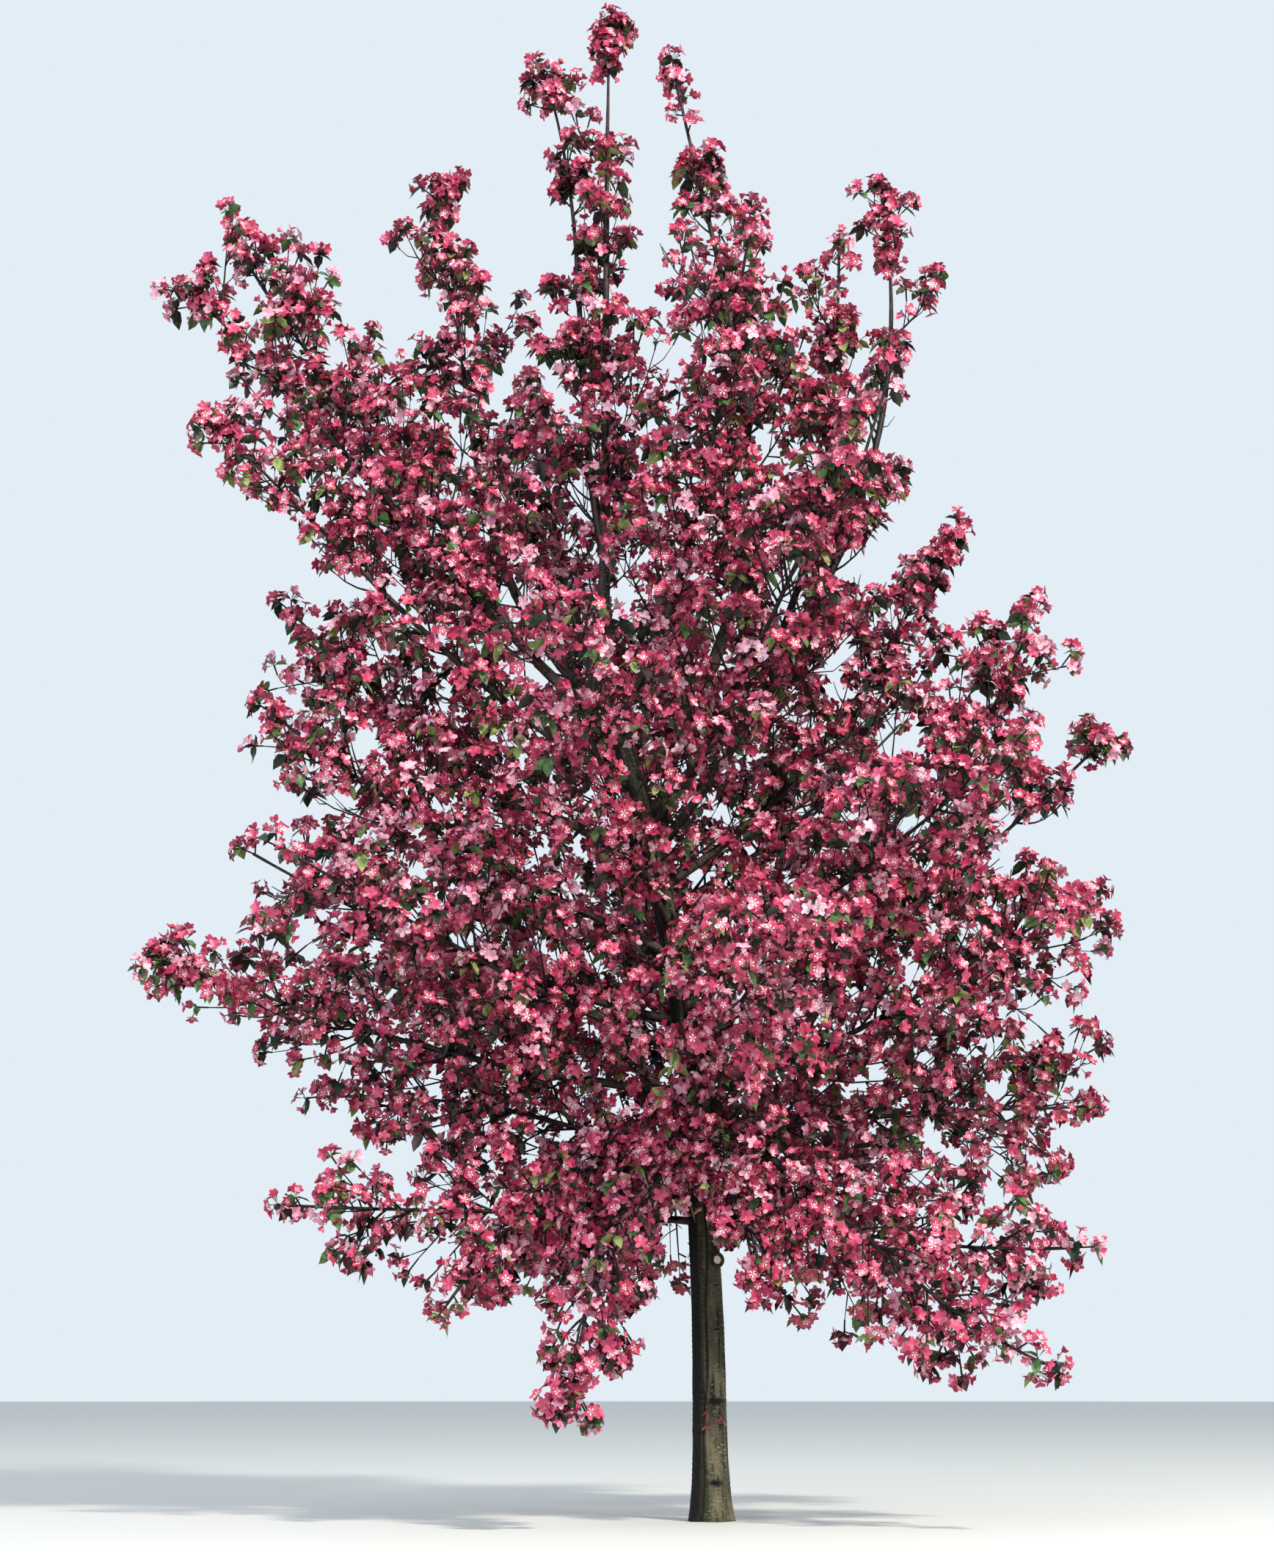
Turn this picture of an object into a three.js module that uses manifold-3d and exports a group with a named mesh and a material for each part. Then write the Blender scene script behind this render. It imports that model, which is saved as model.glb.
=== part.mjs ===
// Rudolph crabapple in full blossom: a small garden tree with one leaning trunk that forks high up,
// long boughs that sweep upwards at the top and spread or hang lower down, and a mass of blossom on each.
// Units are millimetres and +Z is up. The origin is the centre of the flat cut under the trunk.
// Azimuths are in degrees: 0 is the photograph's right, 90 away from the viewer, 180 its left.
import * as THREE from "three";
import Module from "manifold-3d";

const wasm = await Module();
wasm.setup();

// Clear space between neighbouring nodes.
const SEAT_GAP = 0.3;

// Trunk: a tapering stem that leans to the left more and more as it rises to its fork.
const FORK_HEIGHT = 2150;
const FORK_SHIFT = 276;
const LEAN_POWER = 2.9;
const TRUNK_BOW = 14;
const TRUNK_FOOT_RADIUS = 44;
const TRUNK_TOP_RADIUS = 27;
const TRUNK_SIDES = 15;
const TRUNK_RINGS = [0, 30, 75, 140, 260, 480, 760, 1040, 1320, 1600, 1860, 2030, 2090, 2150];

// Root flare: the foot swells into low buttresses that die out a hand's width above the ground.
const FLARE = 13;
const FLARE_HEIGHT = 80;
const BUTTRESSES = 5;
const BUTTRESS_DEPTH = 6;

// Fork knot: a swelling where the left bough and the leader part.
const KNOT = 4;
const KNOT_HEIGHT = 2090;
const KNOT_SPAN = 70;

// Limbs, each one curve from its foot to its furthest tip. Its thick part is a bough, up to the share
// of its length called bare, and the rest is the stem of its mass of blossom. A limb whose bare share
// is 0 is all stem. Height is where it leaves its parent, reach and rise are from there to its tip,
// leave and arrive are its slopes in degrees at foot and tip, and spread is its longest side shoot.
const LIMBS = [
  // name, parent, height, azimuth, reach, rise, leave, arrive, bare, spread
  ["leader", "trunk", 2150, 0, 14, 1910, 89, 89, 0.3, 320],
  ["left_fork", "trunk", 2085, 146, 610, 1670, 38, 78, 0.34, 410],
  ["top_left", "leader", 2520, 160, 180, 1430, 78, 74, 0, 160],
  ["top_right", "trunk", 1890, 338, 120, 2030, 44, 101, 0.3, 380],
  ["right_spire", "trunk", 1790, 12, 690, 1850, 46, 98, 0.3, 320],
  ["right_upper", "trunk", 1700, 344, 680, 1340, 48, 72, 0.3, 340],
  ["right_shoulder", "trunk", 1610, 16, 860, 1060, 33, 60, 0.28, 360],
  ["right_high", "trunk", 1400, 350, 950, 920, 30, 74, 0.28, 400],
  ["right_mid", "trunk", 1215, 8, 1140, 820, 26, 44, 0.26, 330],
  ["right_low", "trunk", 1060, 345, 1030, 480, 14, 26, 0.26, 440],
  ["right_arch", "trunk", 930, 18, 1110, 140, 16, 4, 0.24, 410],
  ["right_skirt", "trunk", 770, 341, 960, -110, -8, 2, 0, 290],
  ["right_weep", "trunk", 1000, 320, 1020, -620, -20, -22, 0, 280],
  ["upper_left", "trunk", 1990, 183, 1190, 1270, 44, 45, 0.3, 360],
  ["left_shoulder", "trunk", 1870, 193, 1140, 930, 28, 42, 0.28, 310],
  ["left_high", "trunk", 1650, 170, 1030, 770, 30, 46, 0.28, 360],
  ["left_mid", "trunk", 1430, 189, 1060, 610, 24, 38, 0.26, 420],
  ["left_low", "trunk", 1250, 173, 1170, 480, 14, 30, 0.26, 380],
  ["left_reach", "trunk", 1070, 184, 1360, 330, 5, 20, 0.26, 360],
  ["left_arch", "trunk", 850, 170, 1020, 230, 26, 0, 0, 280],
  ["left_skirt", "trunk", 740, 190, 1060, 30, 4, 2, 0, 320],
  ["left_weep", "trunk", 900, 216, 760, -380, 10, -50, 0, 200],
  ["front_weep", "trunk", 960, 242, 670, -660, 12, -69, 0, 250],
  ["front_crown", "trunk", 2040, 304, 620, 1200, 40, 70, 0.28, 340],
  ["front_high", "trunk", 1750, 302, 950, 860, 32, 48, 0.28, 320],
  ["front_mid", "trunk", 1490, 254, 1130, 620, 24, 34, 0.26, 330],
  ["front_right", "trunk", 1330, 316, 1100, 500, 20, 30, 0.26, 330],
  ["front_left", "trunk", 1170, 212, 1190, 430, 14, 22, 0, 330],
  ["front_low", "trunk", 1120, 282, 1170, 230, 14, 10, 0, 310],
  ["back_crown", "trunk", 2010, 112, 740, 1270, 42, 66, 0, 320],
  ["back_high", "trunk", 1850, 82, 1030, 870, 34, 48, 0, 320],
  ["back_right", "trunk", 1550, 50, 1090, 700, 26, 38, 0, 330],
  ["back_mid", "trunk", 1350, 96, 1220, 540, 20, 30, 0, 330],
  ["back_left", "trunk", 1150, 140, 1280, 370, 14, 22, 0, 330],
  ["back_low", "trunk", 960, 68, 1180, 150, 10, 6, 0, 310],
  ["back_skirt", "trunk", 820, 118, 1060, -90, 4, -12, 0, 280],
  ["left_prong", "upper_left", 2290, 176, 770, 1120, 62, 60, 0, 400],
  ["right_prong", "right_spire", 2150, 345, 250, 1250, 64, 88, 0, 240],
  ["front_skirt", "trunk", 930, 288, 420, -360, 6, -62, 0, 170],
].map(([name, parent, height, azimuth, reach, rise, leave, arrive, bare, spread], number) => ({
  name, parent, height, azimuth, reach, rise, leave, arrive, bare, spread, number,
}));

// How far a limb holds the slope of each end, as a share of the straight way from foot to tip.
const LIMB_HOLD = 0.38;

// How often a height on a limb is closed in on by halving.
const HALVINGS = 30;

// Wood thickness: a limb's foot radius grows with its length, and its tip keeps a share of that.
const LIMB_SLENDERNESS = 0.0092;
const LIMB_TIP_SHARE = 0.16;
const COLLAR = 0.3;
const COLLAR_LENGTH = 0.05;
const THINNEST_STEM = 4;
const BOUGH_SIDES = 6;
const BOUGH_STEPS = 3;
const STEM_SIDES = 3;
const STEM_STEPS = 5;

// Side shoots: they leave the stem along the limb and all round it, and turn up or down as its tip does.
const SHOOTS = 5;
const SHOOTS_START = 0.05;
const SHOOTS_END = 0.9;
const FIRST_PLACE = 0.5;
const ALONG_STEP = 0.7549;
const ROUND_STEP = 0.5698;
const LIMB_TURN = 0.618;
const SHOOT_LEAN = 48;
const SHOOT_LEAN_SPREAD = 16;
const SHOOT_TAPER = 0.48;
const SHOOT_LUCK = 0.3;
const SHOOT_BEND = 1.5;
const SHOOT_STEPS = 2;
const SHOOT_FOOT_RADIUS = 1.1;
const SHOOT_RADIUS = 5;
const SHOOT_TIP_RADIUS = 2.6;

// Trusses: each stands for a cluster of flowers. The tip of every stem and shoot widens into one, and
// more are fused on along them, with a spray of leaves for every second. One that would touch another
// is tried once more at a smaller size, and then left out. Rim and top height are shares of its radius.
const STEM_SPRAYS = [0.7, 0.3];
const SHOOT_SPRAY = 0.5;
const SPRAY_LEAN = 62;
const SPRAY_SIZES = [1, 0.72];
const TRUSS_RADIUS = 86;
const TRUSS_SIDES = 5;
const RIM_HEIGHT = 0.6;
const TOP_HEIGHT = 1.25;
const LEAF_LENGTH = 150;
const LEAF_WIDTH = 74;
const LEAF_THICKNESS = 12;
const LEAF_DROOP = 0.5;
const EVERY_LEAF = 2;
const SUNK = 0.4;
const TRUSS_FOOT = 0.97;
const ELBOW_ROOM = 1.05;
const WOOD_ROOM = 1;
const LEAST_EDGE = 0.02;
const NEARLY_UPRIGHT = 0.9;

const UP = new THREE.Vector3(0, 0, 1);
const RIGHT = new THREE.Vector3(1, 0, 0);
const BARK = new THREE.MeshStandardMaterial({ color: "#4d463b", roughness: 0.9, metalness: 0 });
const BLOOM = new THREE.MeshStandardMaterial({ color: "#b8315f", roughness: 0.7, metalness: 0 });

const radians = THREE.MathUtils.degToRad;
const fraction = (value) => value - Math.floor(value);

// The same number from 0 to 1 each time for the same limb, shoot and use: the last digits of a large sine.
function chance(limb, shoot, use) {
  return fraction(Math.sin(limb * 12.9898 + shoot * 78.233 + use * 37.719) * 43758.5453);
}

// A solid from its corner points and its triangles, listed anticlockwise seen from outside.
function solid(points, triangles) {
  return new wasm.Manifold(new wasm.Mesh({
    numProp: 3,
    vertProperties: new Float32Array(points.flatMap((point) => point.toArray())),
    triVerts: new Uint32Array(triangles.flat()),
  }));
}

// A ring of points round a centre, from the first of two directions towards the second.
function ring(centre, first, second, radius, sides) {
  return Array.from({ length: sides }, (_, side) => {
    const turn = (2 * Math.PI * side) / sides;
    return centre.clone()
      .addScaledVector(first, radius * Math.cos(turn))
      .addScaledVector(second, radius * Math.sin(turn));
  });
}

// A solid skin over rings, each with as many points as the one before or twice as many. The first
// ring has a flat cap, and the last one is closed by a fan of triangles to the end point.
function skin(rings, end) {
  const points = [...rings.flat(), end];
  const triangles = [];
  let low = 0;
  for (let side = 1; side + 1 < rings[0].length; side += 1) {
    triangles.push([0, side + 1, side]);
  }
  rings.slice(1).forEach((upper, index) => {
    const lower = rings[index];
    const high = low + lower.length;
    const twice = upper.length / lower.length;
    for (let side = 0; side < lower.length; side += 1) {
      const a = low + side;
      const b = low + ((side + 1) % lower.length);
      const c = high + twice * side;
      const d = high + ((twice * (side + 1)) % upper.length);
      const top = high + twice * side + 1;
      if (twice === 1) {
        triangles.push([a, b, d], [a, d, c]);
      } else {
        triangles.push([a, b, top], [a, top, c], [b, d, top]);
      }
    }
    low = high;
  });
  const sides = rings.at(-1).length;
  for (let side = 0; side < sides; side += 1) {
    triangles.push([points.length - 1, low + side, low + ((side + 1) % sides)]);
  }
  return solid(points, triangles);
}

// The rings of a tube along a curve that lies in the plane of the given normal.
function tubeRings(curve, normal, start, end, steps, sides, radiusAt) {
  return Array.from({ length: steps + 1 }, (_, step) => {
    const along = start + ((end - start) * step) / steps;
    const across = new THREE.Vector3().crossVectors(curve.getTangentAt(along), normal).normalize();
    return ring(curve.getPointAt(along), normal, across, radiusAt(along), sides);
  });
}

// A tube that ends flat, or where it has a truss, widens at its tip into a faceted ball of that size.
function twig(curve, normal, start, end, steps, sides, radiusAt, truss) {
  const rings = tubeRings(curve, normal, start, end, steps, sides, radiusAt);
  const tip = curve.getPointAt(end);
  if (!truss) return skin(rings, tip);
  const out = curve.getTangentAt(end);
  const across = new THREE.Vector3().crossVectors(out, normal).normalize();
  const size = TRUSS_RADIUS * truss;
  rings.push(ring(tip.clone().addScaledVector(out, RIM_HEIGHT * size), normal, across, size, 2 * sides));
  return skin(rings, tip.addScaledVector(out, TOP_HEIGHT * size));
}

// The centre of the trunk at a height.
function trunkAxis(height) {
  const share = height / FORK_HEIGHT;
  return new THREE.Vector3(-FORK_SHIFT * share ** LEAN_POWER, TRUNK_BOW * Math.sin(Math.PI * share), height);
}

// The trunk's radius at a height and a turn: an even taper, the root flare and the knot under the fork.
function trunkRadius(height, turn) {
  const taper = TRUNK_FOOT_RADIUS + (TRUNK_TOP_RADIUS - TRUNK_FOOT_RADIUS) * (height / FORK_HEIGHT);
  const flare = (FLARE + BUTTRESS_DEPTH * Math.cos(BUTTRESSES * turn)) * Math.exp(-height / FLARE_HEIGHT);
  const knot = KNOT * Math.exp(-(((height - KNOT_HEIGHT) / KNOT_SPAN) ** 2));
  return taper + flare + knot;
}

// The trunk, or with room the space round it that its neighbours keep out of.
function trunkSolid(room) {
  const rings = TRUNK_RINGS.map((height) => Array.from({ length: TRUNK_SIDES }, (_, side) => {
    const turn = (2 * Math.PI * side) / TRUNK_SIDES;
    const radius = trunkRadius(height, turn) + room;
    return trunkAxis(height).add(new THREE.Vector3(radius * Math.cos(turn), radius * Math.sin(turn), 0));
  }));
  rings.at(-1).forEach((point) => point.setZ(FORK_HEIGHT + room));
  return skin(rings, trunkAxis(FORK_HEIGHT).setZ(FORK_HEIGHT + room));
}

// The share of a rising curve's length at which it passes a height, found by halving.
function shareAtHeight(curve, height) {
  let low = 0;
  let high = 1;
  for (let round = 0; round < HALVINGS; round += 1) {
    const middle = (low + high) / 2;
    if (curve.getPointAt(middle).z < height) {
      low = middle;
    } else {
      high = middle;
    }
  }
  return low;
}

// Works out a limb's curve in the upright plane of its azimuth, its length and its thickness.
function shapeLimb(limb, foot) {
  const azimuth = radians(limb.azimuth);
  const outward = new THREE.Vector3(Math.cos(azimuth), Math.sin(azimuth), 0);
  const slope = (degrees) => outward.clone().multiplyScalar(Math.cos(radians(degrees)))
    .addScaledVector(UP, Math.sin(radians(degrees)));
  const tip = foot.clone().addScaledVector(outward, limb.reach).addScaledVector(UP, limb.rise);
  const hold = LIMB_HOLD * foot.distanceTo(tip);
  limb.curve = new THREE.CubicBezierCurve3(
    foot,
    foot.clone().addScaledVector(slope(limb.leave), hold),
    tip.clone().addScaledVector(slope(limb.arrive), -hold),
    tip,
  );
  limb.normal = new THREE.Vector3().crossVectors(UP, outward);
  limb.length = limb.curve.getLength();
  limb.radius = LIMB_SLENDERNESS * limb.length;
  limb.radiusAt = (along) => Math.max(
    THINNEST_STEM,
    limb.radius * (1 - (1 - LIMB_TIP_SHARE) * along + COLLAR * Math.exp(-along / COLLAR_LENGTH)),
  );
}

// Every limb's curve. A parent is listed before its children.
const limbNamed = new Map();
for (const limb of LIMBS) {
  const parent = limbNamed.get(limb.parent);
  const foot = parent
    ? parent.curve.getPointAt(shareAtHeight(parent.curve, limb.height))
    : trunkAxis(limb.height);
  shapeLimb(limb, foot);
  limbNamed.set(limb.name, limb);
}

// The largest body of a solid: what a cut leaves on the parent's far side, and any loose scrap, goes.
function largest(whole) {
  return whole.decompose().reduce((best, body) => (body.volume() > best.volume() ? body : best));
}

// The stretch of a limb between two shares of its length, with the truss at its tip if it has one.
function limbWood(limb, start, end, sides, steps, room, truss) {
  const radiusAt = (along) => limb.radiusAt(along) + room;
  return twig(limb.curve, limb.normal, start, end, steps, sides, radiusAt, truss);
}

// Cuts a limb's foot clear of what it grows from, which is its parent and a little room.
function seated(limb, wood) {
  const parent = limbNamed.get(limb.parent);
  const seat = parent
    ? limbWood(parent, 0, parent.bare, BOUGH_SIDES, BOUGH_STEPS, SEAT_GAP)
    : trunkSolid(SEAT_GAP);
  return largest(wood.subtract(seat));
}

// What is already in place: each solid, its bounding box and, for wood, the node that owns it.
const placed = [];

function place(owner, shape) {
  placed.push({ owner, shape, box: shape.boundingBox() });
}

// Whether a shape stays out of every spray and out of all the wood of other nodes.
function isClear(owner, shape) {
  const box = shape.boundingBox();
  return placed.every((other) => (
    other.owner === owner
    || [0, 1, 2].some((axis) => box.min[axis] > other.box.max[axis] || box.max[axis] < other.box.min[axis])
    || other.shape.intersect(shape).isEmpty()
  ));
}

// A direction that leans from a tangent by an angle, turned round it from the normal of its plane.
function leaning(tangent, normal, lean, turn) {
  const across = new THREE.Vector3().crossVectors(tangent, normal).normalize();
  return tangent.clone().multiplyScalar(Math.cos(lean))
    .addScaledVector(normal, Math.sin(lean) * Math.cos(turn))
    .addScaledVector(across, Math.sin(lean) * Math.sin(turn));
}

// A numbered side shoot of a limb: it starts on the stem, leans out and bends up or down as the tip does.
function growShoot(limb, number) {
  const share = fraction(FIRST_PLACE + number * ALONG_STEP);
  const along = limb.bare + (1 - limb.bare) * (SHOOTS_START + (SHOOTS_END - SHOOTS_START) * share);
  const turn = 2 * Math.PI * fraction(FIRST_PLACE + number * ROUND_STEP + limb.number * LIMB_TURN);
  const lean = radians(SHOOT_LEAN + SHOOT_LEAN_SPREAD * (chance(limb.number, number, 1) - 0.5));
  const luck = 1 + SHOOT_LUCK * (chance(limb.number, number, 2) - 0.5);
  const length = limb.spread * (1 - SHOOT_TAPER * share) * luck;
  const foot = limb.curve.getPointAt(along);
  const first = leaning(limb.curve.getTangentAt(along), limb.normal, lean, turn);
  const second = first.clone().addScaledVector(UP, SHOOT_BEND * Math.sin(radians(limb.arrive))).normalize();
  const middle = foot.clone().addScaledVector(first, length / 2);
  const tip = middle.clone().addScaledVector(second, length / 2);
  const normal = new THREE.Vector3().crossVectors(first, UP).normalize();
  return { curve: new THREE.QuadraticBezierCurve3(foot, middle, tip), normal, number };
}

// A shoot from a share of its length to its tip, with the truss there, or the space that the two take.
// Its foot is pinched so that it stays inside the stem.
function shootWood(shoot, start, room, truss) {
  const radiusAt = (along) => room
    + (along > 0 ? SHOOT_RADIUS + (SHOOT_TIP_RADIUS - SHOOT_RADIUS) * along : SHOOT_FOOT_RADIUS);
  return twig(shoot.curve, shoot.normal, start, 1, SHOOT_STEPS, STEM_SIDES, radiusAt, truss);
}

// A truss beside a twig: a five-sided faceted ball whose narrow foot is sunk in the twig.
function sideTruss(foot, out, share) {
  const size = TRUSS_RADIUS * share;
  const reference = Math.abs(out.z) < NEARLY_UPRIGHT ? UP : RIGHT;
  const side = new THREE.Vector3().crossVectors(out, reference).normalize();
  const turned = new THREE.Vector3().crossVectors(out, side);
  const rim = ring(foot.clone().addScaledVector(out, RIM_HEIGHT * size), side, turned, size, TRUSS_SIDES);
  const points = [
    foot.clone().addScaledVector(out, -SUNK),
    ...rim,
    foot.clone().addScaledVector(out, TOP_HEIGHT * size),
  ];
  const triangles = rim.flatMap((_, index) => {
    const next = ((index + 1) % TRUSS_SIDES) + 1;
    return [[0, next, index + 1], [TRUSS_SIDES + 1, index + 1, next]];
  });
  return solid(points, triangles);
}

// A spray of leaves: one pointed blade that droops, thickest in the middle, its root sunk in the twig.
function leaf(foot, out, size) {
  const along = out.clone().addScaledVector(UP, -LEAF_DROOP).normalize();
  const side = new THREE.Vector3().crossVectors(along, UP).normalize();
  const face = new THREE.Vector3().crossVectors(side, along);
  const middle = foot.clone().addScaledVector(along, (LEAF_LENGTH * size) / 2);
  const points = [
    foot.clone().addScaledVector(along, -SUNK),
    middle.clone().addScaledVector(side, (LEAF_WIDTH * size) / 2),
    foot.clone().addScaledVector(along, LEAF_LENGTH * size),
    middle.clone().addScaledVector(side, (-LEAF_WIDTH * size) / 2),
    middle.clone().addScaledVector(face, LEAF_THICKNESS / 2),
    middle.clone().addScaledVector(face, -LEAF_THICKNESS / 2),
  ];
  const triangles = [0, 1, 2, 3].flatMap((k) => {
    const next = (k + 1) % 4;
    return [[k, next, 4], [next, k, 5]];
  });
  return solid(points, triangles);
}

// The first truss size at which a shape with that truss is clear, or undefined.
function roomiest(owner, shapeOf) {
  return SPRAY_SIZES.find((size) => isClear(owner, shapeOf(size * ELBOW_ROOM)));
}

// Adds a truss or a spray of leaves beside a twig of a limb's mass, where there is room for it.
function addSpray(limb, curve, normal, along, number) {
  const turn = 2 * Math.PI * fraction(number * LIMB_TURN + limb.number * ROUND_STEP);
  const foot = curve.getPointAt(along);
  const out = leaning(curve.getTangentAt(along), normal, radians(SPRAY_LEAN), turn);
  const shape = number % EVERY_LEAF === EVERY_LEAF - 1 ? leaf : sideTruss;
  const size = roomiest(limb.name, (share) => shape(foot, out, share));
  if (size === undefined) return;
  place("spray", shape(foot, out, size * ELBOW_ROOM));
  limb.pieces.push(shape(foot, out, size));
}

const tree = new THREE.Group();

function addNode(name, shape, material) {
  const { numProp, vertProperties, triVerts } = shape.getMesh();
  const geometry = new THREE.BufferGeometry();
  geometry.setAttribute("position", new THREE.BufferAttribute(vertProperties, numProp));
  geometry.setIndex(new THREE.BufferAttribute(triVerts, 1));
  geometry.computeVertexNormals();
  const mesh = new THREE.Mesh(geometry, material);
  mesh.name = name;
  tree.add(mesh);
}

// Wood first: the trunk, the boughs, and the stem of each mass from its bough's tip or its parent.
const trunk = trunkSolid(0);
place("trunk", trunk);
addNode("trunk", trunk, BARK);
for (const limb of LIMBS) {
  const start = limb.bare > 0 ? limb.bare + SEAT_GAP / limb.length : 0;
  const stem = limbWood(limb, start, 1, STEM_SIDES, STEM_STEPS, 0, SPRAY_SIZES[0]);
  limb.pieces = [start > 0 ? stem : seated(limb, stem)];
  limb.shoots = [];
  place(limb.name, limbWood(limb, limb.bare, 1, STEM_SIDES, STEM_STEPS, WOOD_ROOM));
  place("spray", limbWood(limb, TRUSS_FOOT, 1, STEM_SIDES, 1, 0, SPRAY_SIZES[0]));
  if (limb.bare > 0) {
    const bough = seated(limb, limbWood(limb, 0, limb.bare, BOUGH_SIDES, BOUGH_STEPS, 0));
    place("bough_" + limb.name, bough);
    addNode("bough_" + limb.name, bough, BARK);
  }
}

// Then the side shoots, one round of the tree after another, so that no mass crowds out the next.
for (let number = 0; number < SHOOTS; number += 1) {
  for (const limb of LIMBS) {
    const shoot = growShoot(limb, number);
    const size = roomiest(limb.name, (share) => shootWood(shoot, 0, WOOD_ROOM, share));
    if (size === undefined) continue;
    limb.shoots.push(shoot);
    limb.pieces.push(shootWood(shoot, 0, 0, size));
    place(limb.name, shootWood(shoot, 0, WOOD_ROOM));
    place("spray", shootWood(shoot, TRUSS_FOOT, 0, size * ELBOW_ROOM));
  }
}

// Then what grows beside the stems and the shoots.
STEM_SPRAYS.forEach((share, number) => {
  for (const limb of LIMBS) {
    addSpray(limb, limb.curve, limb.normal, limb.bare + (1 - limb.bare) * share, number);
  }
});
for (const limb of LIMBS) {
  for (const shoot of limb.shoots) {
    addSpray(limb, shoot.curve, shoot.normal, SHOOT_SPRAY, STEM_SPRAYS.length + shoot.number);
  }
}

for (const limb of LIMBS) {
  addNode("blossom_" + limb.name, largest(wasm.Manifold.union(limb.pieces).simplify(LEAST_EDGE)), BLOOM);
}

export default tree;
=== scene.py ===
# Looks for the rudolph crabapple: bark, twigs, leaves and blossom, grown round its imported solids.
# Metres, +Z up. The origin is the centre of the flat cut under the trunk, azimuth 0 is the photograph's
# right and azimuth 90 points away from the camera. Turns go round a limb, and shares run along it.
import math

import bpy
import numpy as np
from mathutils import Matrix


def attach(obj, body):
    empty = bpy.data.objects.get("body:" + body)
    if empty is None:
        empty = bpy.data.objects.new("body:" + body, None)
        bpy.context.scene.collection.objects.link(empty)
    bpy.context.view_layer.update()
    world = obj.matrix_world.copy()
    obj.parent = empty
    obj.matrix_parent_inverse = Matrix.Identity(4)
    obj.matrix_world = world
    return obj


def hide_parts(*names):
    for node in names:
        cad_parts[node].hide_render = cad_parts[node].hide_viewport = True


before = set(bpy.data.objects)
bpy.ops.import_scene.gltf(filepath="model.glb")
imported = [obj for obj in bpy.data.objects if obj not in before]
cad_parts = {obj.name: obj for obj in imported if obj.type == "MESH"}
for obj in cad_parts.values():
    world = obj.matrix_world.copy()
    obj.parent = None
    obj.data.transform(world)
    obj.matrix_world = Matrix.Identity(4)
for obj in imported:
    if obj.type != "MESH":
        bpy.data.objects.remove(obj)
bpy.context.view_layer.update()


# Trunk: one living stem of applewood under thin grey-olive bark. It leans left more and more up to its
# fork, swells into five low buttresses at the ground, and shows long seams where lobes of growth meet,
# knots where old side shoots died, and fine level wrinkles.
FORK_HEIGHT = 2.150
FORK_SHIFT = 0.276
LEAN_POWER = 2.9
TRUNK_BOW = 0.014
TRUNK_FOOT_RADIUS = 0.044
TRUNK_TOP_RADIUS = 0.027
FLARE = 0.013
FLARE_HEIGHT = 0.080
BUTTRESSES = 5
BUTTRESS_DEPTH = 0.006
KNOT = 0.004
KNOT_HEIGHT = 2.090
KNOT_SPAN = 0.070

# A wave over the bark: how many go round the wood, how many radians of one there are to a metre along it,
# and its phase. The trunk has slow lumps with the height each stands out, small lumps where two waves
# meet, and level wrinkles every 13 mm that sway and fade by waves of their own.
SLOW_LUMPS = [(0.0011, (3, 7, 0.0)), (0.0008, (5, -12, 1.3))]
SMALL_LUMP = 0.0005
SMALL_LUMPS = [(11, 31, 0.0), (3, -23, 0.0)]
WRINKLE = 0.00045
WRINKLE_WAVES = 470
WRINKLE_SWAY = 1.6
WRINKLE_SWAYS = (3, 9, 0.0)
WRINKLE_FADES = (2, 17, 0.0)

# Each seam: its turn at the ground in degrees, how far it winds in degrees a metre, and its depth, which
# also sets how dark the painted shade in its groove is. It wanders by some degrees to each side, in waves
# of so many radians a metre.
TRUNK_SEAMS = [(-118, 46, 0.0060), (-38, -16, 0.0022), (28, 20, 0.0034), (112, -30, 0.0042),
               (186, 24, 0.0030)]
SEAM_WANDER = 4
SEAM_WAVES = 21
SEAM_HALF_WIDTH = 0.0042
SEAM_SHOULDER = 0.013
SHOULDER_SHARE = 0.45

# Painted shade on the trunk's side away from the key light: the turns of its middle and half its width, how
# dark it is, and the power by which it ends at its edge. One edge is a seam.
PAINTED_SHADE_MIDDLE = -170
PAINTED_SHADE_HALF_WIDTH = 62
PAINTED_SHADE_DARKNESS = 0.97
PAINTED_SHADE_EDGE = 10

# Under the crown the bark darkens with painted shadow of the crown, from about this height up.
SHADE_HEIGHT = 0.36
SHADE_FADE = 0.055
SHADE_DARKNESS = 0.42

# Each knot: its turn in degrees, its height, and its half width. A knot is a hollow with raised lips,
# wider than high. The lips, the hollow and its darkness die out from the middle, each at its own rate.
TRUNK_KNOTS = [(-66, 0.292, 0.019), (-74, 0.093, 0.016), (-58, 0.470, 0.008), (40, 0.36, 0.010),
               (150, 0.22, 0.011), (100, 0.58, 0.012), (-150, 0.55, 0.007), (-52, 0.58, 0.006)]
KNOT_FLATNESS = 0.42
KNOT_LIP = 0.0030
KNOT_HOLLOW = 0.0075
LIP_REACH = 3
HOLLOW_FALL = 1.4
HOLLOW_DARK_FALL = 0.3

TRUNK_SIDES = 80
FINE_HEIGHT = 0.85
FINE_STEP = 0.004
COARSE_STEP = 0.014


def trunk_axis(height):
    """The trunk's centre at a height: it leans left by a power of the height and bows a little away."""
    share = np.asarray(height) / FORK_HEIGHT
    return np.stack([-FORK_SHIFT * share**LEAN_POWER, TRUNK_BOW * np.sin(np.pi * share),
                     FORK_HEIGHT * share], -1)


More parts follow.
